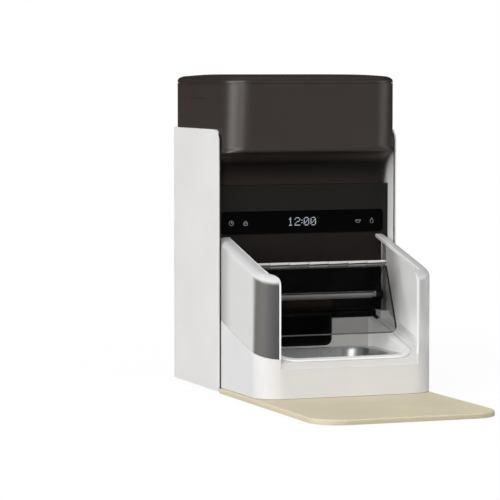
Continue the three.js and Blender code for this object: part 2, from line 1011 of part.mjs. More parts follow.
// Upper housing: the brown outer casing of the tank, open at the top
function upperHousing() {
  const top = ringAt(tankPlan(0, -tankFront, tankRadius), tankTop);
  const outer = loft([...browRings(0), top]);
  const innerTop = ringAt(tankPlan(tankWall, -tankFront, tankRadius), tankTop + overrun);
  const inner = loft([...browRings(tankWall), innerTop]);
  const outlet = box(
    -outletHalfWidth - outletWall - fit,
    outletHalfWidth + outletWall + fit,
    rotorBack - outletHalfDepth - outletWall - fit,
    rotorBack + outletHalfDepth + outletWall + fit,
    tankBottom - overrun,
    tankBottom + tankWall + overrun,
  );
  const windows = alongX(latchWindow(fit), -bodyHalf - overrun, bodyHalf + overrun);
  const step = alongZ(
    tankPlan(binFlangeInset - fit, -tankFront, tankRadius),
    tankTop - seamStep,
    tankTop + overrun,
  );
  return outer.subtract(inner).subtract(outlet).subtract(windows).subtract(step);
}

// Food bin: straight walls under a flange with a bead at its edge, then a funnel down to the outlet
function foodBin() {
  const plan = (inset) => rounded(
    -binHalf + inset,
    binHalf - inset,
    binFront + inset,
    binBack - inset,
    binRadius - inset,
    binRadius - inset,
  );
  const neck = (inset) => rounded(
    -outletHalfWidth - outletWall + inset,
    outletHalfWidth + outletWall - inset,
    rotorBack - outletHalfDepth - outletWall + inset,
    rotorBack + outletHalfDepth + outletWall - inset,
    outletWall * 2 - inset,
    outletWall * 2 - inset,
  );
  const neckBottom = dispenserTop + fit;
  const neckTop = tankBottom + tankWall + fit;
  const outer = loft([
    ringAt(neck(0), neckBottom),
    ringAt(neck(0), neckTop),
    ringAt(plan(0), binShoulder),
    ringAt(plan(0), binTop),
  ]);
  const inner = loft([
    ringAt(neck(outletWall), neckBottom - overrun),
    ringAt(neck(outletWall), neckTop),
    ringAt(plan(binWall), binShoulder),
    ringAt(plan(binWall), binTop + overrun),
  ]);
  const flange = alongZ(tankPlan(binFlangeInset, -tankFront, tankRadius), binTop - binFlange, binTop);
  const beadLow = tankTop - seamStep + fit;
  const bead = alongZ(tankPlan(binFlangeInset, -tankFront, tankRadius), beadLow, binTop).subtract(
    alongZ(tankPlan(tankWall - fit, -tankFront, tankRadius), beadLow - overrun, binTop + overrun),
  );
  return union([outer, flange, bead]).subtract(inner);
}

// Tank lid: a slightly domed cover whose rim hangs over the bin's flange, with a skirt that drops into it
function tankLid() {
  const rings = [ringAt(tankPlan(0, -tankFront, tankRadius), tankTop + lidSeam)];
  for (let i = 0; i <= rollSteps; i += 1) {
    const angle = (quarterTurn * i) / rollSteps;
    const inset = lidEdge * (1 - Math.cos(angle));
    const z = lidTop - lidCrown - lidRadius + lidRadius * Math.sin(angle);
    rings.push(ringAt(tankPlan(inset, -tankFront, tankRadius), z));
  }
  for (let i = 1; i <= rollSteps; i += 1) {
    const angle = (quarterTurn * i) / rollSteps;
    const inset = lidEdge + (crownReach * i) / rollSteps;
    rings.push(ringAt(tankPlan(inset, -tankFront, tankRadius), lidTop - lidCrown * (1 - Math.sin(angle))));
  }
  const hollow = alongZ(
    tankPlan(lidEdge, -tankFront, tankRadius),
    lidBottom - overrun,
    lidTop - lidPlate,
  );
  const flangeRoom = alongZ(tankPlan(binFlangeInset - fit, -tankFront, tankRadius), tankTop, lidBottom);
  const skirt = alongZ(skirtPlan(0), lidBottom - skirtDepth, lidTop - lidPlate * half);
  const skirtRoom = alongZ(skirtPlan(skirtWall), lidBottom - skirtDepth - overrun, lidTop - lidPlate);
  return loft(rings).subtract(hollow).subtract(flangeRoom).add(skirt).subtract(skirtRoom);
}

function skirtPlan(inset) {
  const gap = binWall + fit + sealThickness + fit + inset;
  return rounded(
    -binHalf + gap,
    binHalf - gap,
    binFront + gap,
    binBack - gap,
    binRadius - gap,
    binRadius - gap,
  );
}

function lidSeal() {
  const low = lidBottom - skirtDepth + sealThickness;
  const outer = alongZ(skirtPlan(-fit - sealThickness), low, low + sealHeight);
  return outer.subtract(alongZ(skirtPlan(-fit), low - overrun, low + sealHeight + overrun));
}

function desiccantPlan(inset) {
  return rounded(
    -desiccantHalfLength + inset,
    desiccantHalfLength - inset,
    rotorBack - desiccantHalfWidth + inset,
    rotorBack + desiccantHalfWidth - inset,
    desiccantWall * 2 - inset,
  );
}

function desiccantHolder() {
  const top = lidTop - lidPlate - fit;
  const outer = alongZ(desiccantPlan(0), top - desiccantHeight, top);
  return outer.subtract(alongZ(
    desiccantPlan(desiccantWall),
    top - desiccantHeight - overrun,
    top - desiccantWall,
  ));
}

// Slotted cap that closes the desiccant holder from below
function desiccantCap() {
  const top = lidTop - lidPlate - fit - desiccantHeight - fit;
  let cap = alongZ(desiccantPlan(0), top - desiccantWall, top);
  const pitch = (desiccantHalfLength * 2) / (desiccantSlots + 1);
  for (let i = 1; i <= desiccantSlots; i += 1) {
    const x = -desiccantHalfLength + pitch * i;
    const y = desiccantHalfWidth - desiccantWall * 2;
    cap = cap.subtract(box(
      x - desiccantWall,
      x + desiccantWall,
      rotorBack - y,
      rotorBack + y,
      top - desiccantWall - overrun,
      top + overrun,
    ));
  }
  return cap;
}

// Push buttons on the tank's sides: a face in the window and a wider plate behind the wall
function latchButton(side) {
  const wallInner = bodyHalf - tankWall;
  const face = alongX(latchWindow(0), wallInner - fit - latchPlate, bodyHalf - fit);
  const plate = alongX(latchWindow(latchRim), wallInner - fit - latchPlate, wallInner - fit);
  const button = face.add(plate);
  return side > 0 ? button : button.mirror([1, 0, 0]);
}

// Spring behind a push button: one tube along a helix, with its two ends closed
function latchSpring(side) {
  const low = binHalf + fit;
  const high = bodyHalf - tankWall - fit - latchPlate - fit;
  const y = latchFront + latchLength * half;
  const z = tankTop - latchDrop - latchHeight * half;
  const wire = springWire * half;
  const steps = springCurls * springSteps;
  const pitch = (high - low - springWire) / steps;
  const rings = [];
  for (let i = 0; i <= steps; i += 1) {
    const angle = (fullTurn * i) / springSteps;
    const ring = [];
    for (let k = 0; k < springSides; k += 1) {
      const turn = (-fullTurn * k) / springSides;
      const reach = springRadius + wire * Math.cos(turn);
      const x = low + wire + pitch * i + wire * Math.sin(turn);
      ring.push(new THREE.Vector3(x, y + reach * Math.cos(angle), z + reach * Math.sin(angle)));
    }
    rings.push(ring);
  }
  const spring = loft(rings);
  const turnGap = pitch * springSteps - springWire;
  if (side > 0) console.log('least gap between spring curls, mm:', turnGap.toFixed(2));
  return side > 0 ? spring : spring.mirror([1, 0, 0]);
}

// Dispenser: a round chamber under the tank's outlet, with a paddle rotor on a steel shaft
function dispenserHousing() {
  const outer = box(
    -dispenserHalfWidth,
    dispenserHalfWidth,
    rotorBack - dispenserHalfDepth,
    rotorBack + dispenserHalfDepth,
    dispenserBottom,
    dispenserTop,
  );
  const room = rotorHalfLength + rotorGap;
  const chamber = alongX(disc(rotorBack, rotorHeight, rotorChamber, roundSides + smallSides), -room, room);
  const inlet = box(
    -outletHalfWidth,
    outletHalfWidth,
    rotorBack - outletHalfDepth,
    rotorBack + outletHalfDepth,
    rotorHeight,
    dispenserTop + overrun,
  );
  const outlet = box(
    -outletHalfWidth,
    outletHalfWidth,
    rotorBack - outletHalfDepth + outletWall,
    rotorBack + outletHalfDepth - outletWall,
    dispenserBottom - overrun,
    rotorHeight,
  );
  const bore = alongX(
    disc(rotorBack, rotorHeight, shaftRadius + fit, smallSides),
    -dispenserHalfWidth - overrun,
    dispenserHalfWidth + overrun,
  );
  return outer.subtract(chamber).subtract(inlet).subtract(outlet).subtract(bore);
}

function rotor() {
  const vane = polygon([
    [0, -vaneThickness * half],
    [rotorRadius, -vaneThickness * half],
    [rotorRadius, vaneThickness * half],
    [0, vaneThickness * half],
  ]);
  const centre = new THREE.Vector2(0, 0);
  const pieces = [alongX(
    disc(rotorBack, rotorHeight, rotorHub, smallSides),
    -rotorHalfLength,
    rotorHalfLength,
  )];
  for (let i = 0; i < rotorVanes; i += 1) {
    const angle = (fullTurn * (i + half)) / rotorVanes;
    const outline = vane.map((p) => p.clone().rotateAround(
      centre,
      angle,
    ).add(new THREE.Vector2(rotorBack, rotorHeight)));
    pieces.push(alongX(outline, -rotorHalfLength, rotorHalfLength));
  }
  const bore = alongX(
    disc(rotorBack, rotorHeight, shaftRadius + fit, smallSides),
    -rotorHalfLength - overrun,
    rotorHalfLength + overrun,
  );
  return union(pieces).subtract(bore);
}

function rotorShaft() {
  const outline = disc(rotorBack, rotorHeight, shaftRadius, smallSides);
  return alongX(outline, -dispenserHalfWidth + fit, dispenserHalfWidth + gearboxLength * half);
}

function dispenseMotor() {
  const start = dispenserHalfWidth + fit;
  const gearbox = alongX(
    rounded(
      rotorBack - gearboxHalf,
      rotorBack + gearboxHalf,
      rotorHeight - gearboxHalf,
      rotorHeight + gearboxHalf,
      gearboxHalf * half * half,
    ),
    start,
    start + gearboxLength,
  );
  const can = alongX(
    disc(rotorBack, rotorHeight, motorRadius),
    start + gearboxLength,
    start + gearboxLength + motorLength,
  );
  const boreLength = gearboxLength * half + fit;
  const bore = alongX(
    disc(rotorBack, rotorHeight, shaftRadius + fit, smallSides),
    start - overrun,
    start + boreLength,
  );
  return gearbox.add(can).subtract(bore);
}

// Food chute: a duct that drops from the dispenser and slopes forward to a mouth behind the bowl
function chuteSide(inset) {
  const mouth = inset > 0 ? -overrun : -fit;
  const top = dispenserBottom + (inset > 0 ? overrun : -fit);
  const lift = inset * slopeWallShare;
  return polygon([
    [mouth, chuteLow + inset],
    [chuteCorner, chuteLow + inset],
    [chuteKneeY, chuteKneeZ + lift],
    [ductBack - inset, chuteFloorBack + lift],
    [ductBack - inset, top],
    [ductFront + inset, top],
    [ductLow + inset, chuteShoulder],
    [ductLow + inset, chuteCeiling - inset],
    [mouth, chuteCeiling - inset],
  ]);
}

// The room that the chute's mouth needs in the pieces round it
function mouthRoom(clearance) {
  const outline = rounded(
    chuteX - chuteHalfWidth - clearance,
    chuteX + chuteHalfWidth + clearance,
    chuteLow - clearance,
    heelTop * 2,
    chuteCorner,
    0,
  );
  return alongY(outline, -overrun, baseRear + overrun);
}

// The mouth's outline from the front, with its two lower corners rounded
function chuteFront(inset) {
  const high = dispenserTop;
  return alongY(
    rounded(
      chuteX - chuteHalfWidth + inset,
      chuteX + chuteHalfWidth - inset,
      chuteLow + inset,
      high,
      chuteCorner - inset,
      0,
    ),
    -overrun * 2,
    shellDepth,
  );
}

function foodChute() {
  const duct = (inset) => {
    const reach = chuteHalfWidth - inset;
    return alongX(chuteSide(inset), chuteX - reach, chuteX + reach).intersect(chuteFront(inset));
  };
  return duct(0).subtract(duct(chuteWall));
}

// Folding lid: each plate lies along -Y of its own group, with the hinge axis on X
function hingeGroup(y, z, angle) {
  const group = new THREE.Group();
  group.position.set(0, y, z);
  group.rotation.x = THREE.MathUtils.degToRad(-angle);
  stand.add(group);
  return group;
}

function strip(from, to, halfLength) {
  return box(-halfLength, halfLength, -to, -from, -stripThickness * half, stripThickness * half);
}

function plateGap(from, to, halfWidth) {
  const reach = halfWidth + fit;
  const depth = plateThickness * half + plateSlot;
  return box(-reach, reach, -to, -from, -depth, depth);
}

function rearBar() {
  const barrelEnd = rearBarHalfLength - rearBarStep;
  const barrel = alongX(disc(0, 0, rearBarRadius), -barrelEnd, barrelEnd);
  const collarEnd = bracketInner - fit;
  const collar = alongX(disc(0, 0, rearCollarRadius), -collarEnd, collarEnd);
  const grip = strip(0, rearBarRadius, rearBarHalfLength);
  const slot = plateGap(rearBarRadius - rearBarSlot, rearBarRadius + overrun, rearPlateHalfWidth);
  const bore = alongX(
    disc(0, 0, hingePinRadius + fit, smallSides),
    -collarEnd - overrun,
    collarEnd + overrun,
  );
  return union([barrel, collar, grip]).subtract(slot).subtract(bore);
}

function rearPlate() {
  const from = rearBarRadius - rearBarSlot + fit;
  const to = rearPlateReach - foldClearance - gripWeb - fit;
  const reach = plateThickness * half;
  return box(-rearPlateHalfWidth, rearPlateHalfWidth, -to, -from, -reach, reach);
}

// Knuckles of the fold hinge: every second one belongs to the rear bar, the others to the front bar
function knuckles(centre, leaf, first) {
  const pitch = (foldBarHalfLength * 2) / knuckleCount;
  const pieces = [];
  for (let i = first; i < knuckleCount; i += 2) {
    const low = -foldBarHalfLength + pitch * i + fit * half;
    const high = low + pitch - fit;
    pieces.push(alongX(disc(centre, 0, foldBarRadius, smallSides), low, high));
    const near = Math.min(centre, leaf);
    const far = Math.max(centre, leaf);
    pieces.push(box(low, high, near, far, -stripThickness * half, stripThickness * half));
  }
  return union(pieces);
}

function foldBore(centre) {
  const reach = foldBarHalfLength + overrun;
  return alongX(disc(centre, 0, foldPinRadius + fit, smallSides), -reach, reach);
}

function foldBar() {
  const leafEnd = rearPlateReach - foldClearance;
  const leaf = strip(leafEnd - plateGrip, leafEnd, foldBarHalfLength);
  const slot = plateGap(leafEnd - plateGrip - overrun, leafEnd - gripWeb, plateHalfWidth);
  const barrels = knuckles(-rearPlateReach, -leafEnd + fit, 0);
  return union([leaf, barrels]).subtract(slot).subtract(foldBore(-rearPlateReach));
}

function frontBar() {
  const leaf = strip(foldClearance, foldClearance + plateGrip, foldBarHalfLength);
  const slot = plateGap(foldClearance + gripWeb, foldClearance + plateGrip + overrun, plateHalfWidth);
  const barrels = knuckles(0, -foldClearance - fit, 1);
  return union([leaf, barrels]).subtract(slot).subtract(foldBore(0));
}

function frontPlate() {
  const outline = rounded(
    -plateHalfWidth,
    plateHalfWidth,
    -frontPlateReach,
    -foldClearance - gripWeb - fit,
    plateCorner,
    0,
  );
  return alongZ(outline, -plateThickness * half, plateThickness * half);
}

function hingePin() {
  return alongX(disc(hingeY, hingeZ, hingePinRadius, smallSides), -bracketOuter, bracketOuter);
}

function hingeBracket(side) {
  const end = arc(hingeY, hingeZ, bracketRadius, quarterTurn, quarterTurn * 3);
  const back = liner.back - cavityWall - fit;
  const root = panelFront;
  const outline = [
    ...end,
    ...polygon([
      [root, hingeZ - bracketHeight * half],
      [back, hingeZ - bracketHeight * half],
      [back, hingeZ + bracketHeight * half],
      [root, hingeZ + bracketHeight * half],
    ]),
  ];
  const bore = alongX(
    disc(hingeY, hingeZ, hingePinRadius + fit, smallSides),
    bracketInner - overrun,
    bracketOuter + overrun,
  );
  let bracket = alongX(outline, bracketInner, bracketOuter).subtract(bore);
  if (side < 0) bracket = bracket.mirror([1, 0, 0]);
  return bracket;
}

// Spur gear outline with four points a tooth; phase is counted in teeth
function gearOutline(teeth, pitchRadius, phase) {
  const tip = pitchRadius + toothHeight - fit * half;
  const root = pitchRadius - toothHeight - fit;
  const points = [];
  for (let i = 0; i < teeth; i += 1) {
    const middle = i + phase;
    for (const [radius, share] of [
      [root, -toothRootShare],
      [tip, -toothTipShare],
      [tip, toothTipShare],
      [root, toothRootShare],
    ]) {
      const angle = (fullTurn * (middle + share * half)) / teeth;
      points.push(new THREE.Vector2(radius * Math.cos(angle), radius * Math.sin(angle)));
    }
  }
  return points;
}

function gearAt(y, z, teeth, pitchRadius, phase, bore) {
  const centre = new THREE.Vector2(y, z);
  const outline = gearOutline(teeth, pitchRadius, phase).map((p) => p.add(centre));
  const wheel = alongX(outline, -gearInner - gearWidth, -gearInner);
  const hole = alongX(
    disc(y, z, bore + fit, smallSides),
    -gearInner - gearWidth - overrun,
    -gearInner + overrun,
  );
  return wheel.subtract(hole);
}

function lidGear() {
  return gearAt(hingeY, hingeZ, gearTeeth, gearPitch, 0, rearCollarRadius);
}

function lidPinion() {
  return gearAt(pinionY, hingeZ, pinionTeeth, pinionPitch, half, hingePinRadius);
}

function lidMotor() {
  const end = -gearInner + fit + fit;
  const can = alongX(disc(pinionY, hingeZ, lidMotorRadius), end, end + lidMotorLength);
  const shaft = alongX(
    disc(pinionY, hingeZ, hingePinRadius, smallSides),
    -gearInner - gearWidth,
    end + overrun,
  );
  return can.add(shaft);
}

function lidMotorMount() {
  const start = -gearInner + fit + fit + (lidMotorLength - lidMountLength) * half;
  const back = liner.back - cavityWall - fit;
  const block = box(
    start,
    start + lidMountLength,
    pinionY,
    back,
    hingeZ - lidMotorRadius + fit,
    hingeZ + lidMotorRadius - fit,
  );
  return block.subtract(alongX(
    disc(pinionY, hingeZ, lidMotorRadius + fit),
    start - overrun,
    start + lidMountLength + overrun,
  ));
}

// Electronics
function mainBoard() {
  const back = shellInnerBack - bossLength - fit;
  const front = back - boardThickness;
  const board = box(
    -mainBoardHalfWidth,
    mainBoardHalfWidth,
    front,
    back,
    mainBoardBottom,
    mainBoardBottom + mainBoardHeight,
  );
  const middle = mainBoardBottom + mainBoardHeight * half;
  const chips = [-1, 0, 1].map((i) => {
    const x = i * chipWidth * (1 + half);
    const reach = chipWidth * half;
    return box(
      x - reach,
      x + reach,
      front - chipHeight,
      front + boardThickness * half,
      middle - reach,
      middle + reach,
    );
  });
  return union([board, ...chips]);
}

function powerInlet() {
  const body = alongY(disc(jackX, jackZ, jackRadius, smallSides), shellDepth - jackLength, shellDepth - fit);
  const collar = alongY(
    disc(jackX, jackZ, jackRadius + shellWall, smallSides),
    shellInnerBack - fit - shellWall,
    shellInnerBack - fit,
  );
  const bore = alongY(
    disc(jackX, jackZ, jackBore, smallSides),
    shellDepth - jackLength + shellWall,
    shellDepth,
  );
  const pin = alongY(
    disc(jackX, jackZ, jackBore * half * half, smallSides),
    shellDepth - jackLength,
    shellInnerBack,
  );
  return body.add(collar).subtract(bore).add(pin);
}

// Reader antenna: a flat frame round the cavity, behind the inner frame
function chipAntenna() {
  const inner = liner.half + fit + fit;
  const outer = inner + antennaWidth;
  const y = frameBack + fit;
  const ring = box(
    -outer,
    outer,
    y,
    y + antennaThickness,
    chuteLow - antennaDrop - antennaWidth,
    liner.top + antennaWidth,
  );
  const opening = box(
    -inner,
    inner,
    y - overrun,
    y + antennaThickness + overrun,
    chuteLow - antennaDrop,
    liner.top + fit,
  );
  return ring.subtract(opening);
}

function speaker() {
  const low = coverTop + fit;
  const rim = low + speakerHeight * half;
  const flange = alongZ(disc(speakerX, powerY, speakerRadius), low, rim);
  const magnet = alongZ(disc(speakerX, powerY, speakerRadius * half), rim - overrun, low + speakerHeight);
  const cone = loft([
    ringAt(disc(speakerX, powerY, speakerRadius - coverThickness), low - fit),
    ringAt(disc(speakerX, powerY, speakerRadius * half), rim - overrun),
  ]);
  return flange.add(magnet).subtract(cone);
}

// Power: two cells in a box over the battery door
const batteryHalf = {
  x: (cellSpacing * (cellCount - 1)) * half + cellRadius + fit * 2,
  y: cellLength * half + contactThickness + fit * 2,
};
const cellZ = coverTop + fit + doorLip + cellRadius;

function doorOutline(clearance) {
  const x = batteryHalf.x + clearance;
  const y = batteryHalf.y + clearance;
  return rounded(-x, x, powerY - y, powerY + y, doorLip);
}

function batteryBox() {
  const x = batteryHalf.x + fit;
  const y = batteryHalf.y;
  const low = coverTop + fit;
  const high = cellZ + cellRadius + fit;
  const outer = box(
    -x - batteryWall,
    x + batteryWall,
    powerY - y - batteryWall,
    powerY + y + batteryWall,
    low,
    high + batteryWall,
  );
  return outer.subtract(box(-x, x, powerY - y, powerY + y, low - overrun, high));
}

function batteryCell(i) {
  const x = (i - (cellCount - 1) * half) * cellSpacing;
  const low = powerY - cellLength * half;
  const high = powerY + cellLength * half;
  const can = alongY(disc(x, cellZ, cellRadius), low, high - cellTip);
  return can.add(alongY(disc(x, cellZ, cellTipRadius, smallSides), high - cellTip * 2, high));
}

// Contacts: a plate at each end of the cells, joined by a strap between them
function batteryContacts() {
  const x = batteryHalf.x - contactThickness;
  const reach = cellRadius * half;
  const inner = cellLength * half + fit;
  const plates = [-1, 1].map((side) => {
    const near = powerY + side * inner;
    const far = near + side * contactThickness;
    return box(-x, x, Math.min(near, far), Math.max(near, far), cellZ - reach, cellZ + cellRadius);
  });
  const strapHalf = cellRadius * half * half;
  const strap = box(
    -strapHalf,
    strapHalf,
    powerY - inner - contactThickness,
    powerY + inner + contactThickness,
    cellZ + cellRadius - contactThickness,
    cellZ + cellRadius,
  );
  return union([...plates, strap]);
}

function batteryDoor() {
  return alongZ(doorOutline(0), floorGap, coverTop);
}

// Assembly
add('shell', shell(), white);
add('base_housing', baseHousing(), white);
add('bottom_cover', bottomCover(), white);
for (const [name, [x, y]] of Object.entries(screwPlaces())) {
  add(`screw_${name}`, coverScrew(x, y), steel);
}
for (const [name, [x, y]] of Object.entries(footPlaces())) {
  add(`foot_${name}`, foot(x, y), rubber);
}
add('feeding_mat', feedingMat(), beige);
add('tray', tray(), trayWhite);
add('bowl', bowl(), steel);

const guardPair = guards();
const rightHalf = box(0, bodyHalf + overrun, -baseFront - overrun, panelFront, 0, tankTop);
add('guard_right', guardPair.intersect(rightHalf), clear);
add('guard_left', guardPair.intersect(rightHalf.mirror([1, 0, 0])), clear);

add('front_panel', frontPanel(), black);
add('display_window', displayWindow(), gloss);
add('display_board', displayBoard(), green);
add('lower_panel', lowerPanel(), brownBlack);
add('inner_frame', innerFrame(), black);
add('cavity_liner', cavityLiner(), black);
add('bowl_sensor', bowlSensor(), brown);

add('upper_housing', upperHousing(), brown);
add('food_bin', foodBin(), brown);
add('tank_lid', tankLid(), brown);
add('lid_seal', lidSeal(), rubber);
add('desiccant_holder', desiccantHolder(), white);
add('desiccant_cap', desiccantCap(), white);
for (const [name, side] of [['left', -1], ['right', 1]]) {
  add(`latch_button_${name}`, latchButton(side), brown);
  add(`latch_spring_${name}`, latchSpring(side), steel);
}

add('dispenser_housing', dispenserHousing(), black);
add('rotor', rotor(), grey);
add('rotor_shaft', rotorShaft(), steel);
add('dispense_motor', dispenseMotor(), grey);
add('food_chute', foodChute(), black);

const rearLid = hingeGroup(hingeY, hingeZ, rearPlateAngle);
add('rear_bar', rearBar(), grey, rearLid);
add('rear_plate', rearPlate(), clear, rearLid);
add('fold_bar', foldBar(), grey, rearLid);
add(
  'fold_pin',
  alongX(disc(-rearPlateReach, 0, foldPinRadius, smallSides), -foldBarHalfLength, foldBarHalfLength),
  steel,
  rearLid,
);
const frontLid = hingeGroup(foldY, foldZ, frontPlateAngle);
add('front_bar', frontBar(), grey, frontLid);
add('front_plate', frontPlate(), clear, frontLid);
add('hinge_pin', hingePin(), steel);
add('hinge_bracket_left', hingeBracket(-1), black);
add('hinge_bracket_right', hingeBracket(1), black);
add('lid_gear', lidGear(), grey);
add('lid_pinion', lidPinion(), grey);
add('lid_motor', lidMotor(), steel);
add('lid_motor_mount', lidMotorMount(), black);

add('main_board', mainBoard(), green);
add('power_inlet', powerInlet(), black);
add('chip_antenna', chipAntenna(), copper);
add('speaker', speaker(), black);
add('battery_box', batteryBox(), black);
for (let i = 0; i < cellCount; i += 1) {
  add(`battery_cell_${i + 1}`, batteryCell(i), grey);
}
add('battery_contacts', batteryContacts(), steel);
add('battery_door', batteryDoor(), white);

export default feeder;
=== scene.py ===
"""Looks of the pet feeder: finishes for every CAD piece, the display's marks, the studio and the camera.

Lengths are in metres, in the CAD frame: X to the right of someone facing the bowl, Y to the back, Z up.
"""

import json
import math

import bpy
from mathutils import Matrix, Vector


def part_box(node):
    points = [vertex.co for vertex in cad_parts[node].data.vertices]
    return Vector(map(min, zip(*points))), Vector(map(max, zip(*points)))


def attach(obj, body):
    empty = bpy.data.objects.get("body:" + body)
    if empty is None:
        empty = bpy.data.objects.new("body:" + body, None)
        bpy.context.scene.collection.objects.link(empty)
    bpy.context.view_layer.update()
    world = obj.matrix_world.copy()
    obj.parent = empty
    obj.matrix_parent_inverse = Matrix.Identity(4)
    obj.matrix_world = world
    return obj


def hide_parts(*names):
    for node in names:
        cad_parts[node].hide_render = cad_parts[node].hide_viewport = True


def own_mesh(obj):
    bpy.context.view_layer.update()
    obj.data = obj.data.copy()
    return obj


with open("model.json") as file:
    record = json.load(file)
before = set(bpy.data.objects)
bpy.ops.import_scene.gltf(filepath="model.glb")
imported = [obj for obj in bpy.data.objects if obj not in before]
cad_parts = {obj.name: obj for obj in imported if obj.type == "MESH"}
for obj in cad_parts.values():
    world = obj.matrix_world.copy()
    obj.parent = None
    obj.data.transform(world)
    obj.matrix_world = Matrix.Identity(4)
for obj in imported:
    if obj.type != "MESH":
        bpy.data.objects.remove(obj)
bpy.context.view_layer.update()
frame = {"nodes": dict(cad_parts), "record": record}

RIGHT, BACK, FRONT, UP = (1, 0, 0), (0, 1, 0), (0, -1, 0), (0, 0, 1)

# Camera, fitted to the photograph
CAMERA_PLACE = (-1.0032, -2.4523, 0.3254)
CAMERA_YAW = 20.48
CAMERA_PITCH = 3.88
CAMERA_LENS = 192.9
SENSOR_WIDTH = 36.0

# Edge rounding and smoothing of the CAD pieces
WELD_DISTANCE = 0.00001
EDGE_WIDTH = 0.0004
SMALL_EDGE_WIDTH = 0.00015
EDGE_SEGMENTS = 2
SMOOTH_ANGLE = math.radians(38)
LARGE_FACE_WEIGHT = 80

# Soft edge of a mask that follows the surface's place, and the part of a noise's range that is used
MASK_EDGE = 0.0002
NOISE_MIDDLE = (0.3, 0.7)

# Guards: finish of the clear zone, then ranges of the normal (walls, top, lip) and of the place, which also
# say where shade, light and highlights are painted
GUARD_ROUGH = 0.24
GUARD_ROUGHER = 0.1
GUARD_IOR = 1.45
GUARD_IOR_DROP = 0.33
GUARD_CLEAR = 0.9
GUARD_LAMP_SHARE = 0.62
GUARD_UPRIGHT = (0.08, 0.5)
GUARD_FACING = (0.0, 0.36)
GUARD_TOP = (0.3, 0.8)
GUARD_MIDDLE = (-0.01, 0.01)
# Widths and places of the painted highlight lines along the free edge and the lip
GUARD_FREE_LINE = 0.0016
GUARD_LIP = 0.0797
GUARD_LIP_LINE = 0.0012
GUARD_LIP_UP = (0.1, 0.4)
GUARD_LIP_START = (-0.033, -0.029)
# Depths over which the flat sides' painted shadow fades in towards the shell
GUARD_SHADE = (0.034, 0.0655)
# Span across the left guard of its curved zone's painted smoky shade
GUARD_LEFT_SHADE_SPAN = (-0.0905, -0.076)
# Heights over which the right guard's painted light fades out upwards
GUARD_LOW = (0.055, 0.095)

# Upper housing and lid: heights of the brow's foot and of the canopy's painted shade, then ranges of the
# normal and shares
BROW_FOOT = (0.2295, 0.2385)
CANOPY = (0.206, 0.23)
CANOPY_SIDES = (0.6, 0.8)
TOP_DULL = (0.15, 0.6)
TOP_FLAT = (0.9, 0.99)
TOP_ROUGHER = 0.3
BROWN_SPECULAR = 0.55
BROWN_DULLER = 0.45

# Shell, lower housing and tray: places of the shell's painted shadow line and of the dark strip, and of the
# tray's back wall and its painted shade
WHITE_ROUGH = 0.42
# Reach and facing of the shell's painted shadow line
JOINT_REACH = 0.09535
JOINT_FACING = (0.6, 0.8)
STRIP = ((0.0735, 0.0525), (0.0808, 0.0676))
STRIP_END = 0.09
BASE_SPECULAR = 0.5
STRIP_DULLER = 0.42
TRAY_BACK = (0.02, 0.04)
TRAY_FACING = (0.4, 0.8)
TRAY_LEVEL = (0.93, 0.99)

# Lid sheets: what film, streaks and the cut edges' painted shade hide of the view, directions down or up
# them, and the painted dark lines
SHEET_FILM = 0.012
SHEET_STREAKS = 0.02
SHEET_EDGE = 0.75
SHEET_CUT = (0.3, 0.5)
STREAK_SCALE = 70.0
STREAK_STRETCH = (1, 0.04, 0.04)
FRONT_SHEET_DOWN = (0, -0.399, -0.917)
# Places of the front sheet's painted dark lines along its side and bottom end
FRONT_SHEET_SIDE = 0.0729
FRONT_SHEET_END = -0.0600
REAR_SHEET_UP = (0, -0.685, 0.729)

# Lid bars: (y, z) of their axes, clear share of their grips, barrels' reach, and normals for the painted
# shade
FOLD_AXIS, HINGE_AXIS = (0.0385, 0.129), (0.0715, 0.0939)
GRIP_CLEAR = 0.95
FOLD_BARREL = 0.0028
REAR_BARREL = 0.02
REAR_BAR_HALF = 0.0766
BAR_UNDERSIDE = (-0.25, 0.35)
BAR_CREASE = -0.1
BAR_CREASE_EDGE = (0.2, 0.3)

# Bare metal and circuit boards
METAL_SPREAD = 0.05
METAL_PATCHES = 40.0
METAL_SMOOTHER, METAL_ROUGHER = 0.06, 0.08
METAL_LINE_DEPTH = 0.00001
METAL_LINE_STRENGTH = 0.25
TRACK_SCALE = 60.0
TRACK_WIDTH = 0.04
LACQUER_ROUGH = (0.3, 0.42)
LACQUER_GRAIN = (900.0, 0.00003)

# Display marks
DOT_PITCH = 0.00124
DOT_SIZE = 0.0008
DOT_ROWS = 7
MARK_PROUD = 0.00006
MARK_LINE = 0.0005
TEXT_MIDDLE = (-0.0011, 0.1700)
MARK_HEIGHT = 0.1695
MARK_PLACES = {"clock": -0.0776, "lock": -0.0623, "bowl": 0.0606, "drop": 0.0759}
MARK_REACH = 0.0028

# Lamps: name, place, what it points at, size and power
LAMPS = (
    ("side", (-2.05, -0.6, 0.75), (0, 0, 0.2), (1.4, 1.2), 27),
    ("main", (-1.5, -2.0, 1.35), (0, 0, 0.15), (1.1, 2.4), 34.5),
    ("fill", (1.72, -1.0, 0.6), (0, 0, 0.15), (1.3, 1.1), 7.5),
    ("top", (0.1, 0.1, 2.2), (0, 0, 0.1), (2.4, 2.4), 15),
    ("back", (0.9, 2.2, 2.0), (0, 0, 0.15), (1.5, 1.5), 16),
)
UNMIRRORED_LAMP = "back"

# Studio: light from all sides, what glossy surfaces mirror towards the front and the back, and the floor
WORLD_LEVEL = 0.4
MIRROR_SPAN = (-0.4, 0.4)
GLOSSY_LEVEL = (0.03, 0.22)
FLOOR_BOUNCE = 0.4
FLOOR_SEEN = 0.93
FLOOR_GLOW = 0.92
FLOOR_RADIUS = 6.0
FLOOR_SIDES = 96
FLOOR_DROP = 0.0004
FLOOR_ROUGH = 0.8
FLOOR_SPECULAR = 0.1
FLOOR_FADE = (0.42, 0.95)


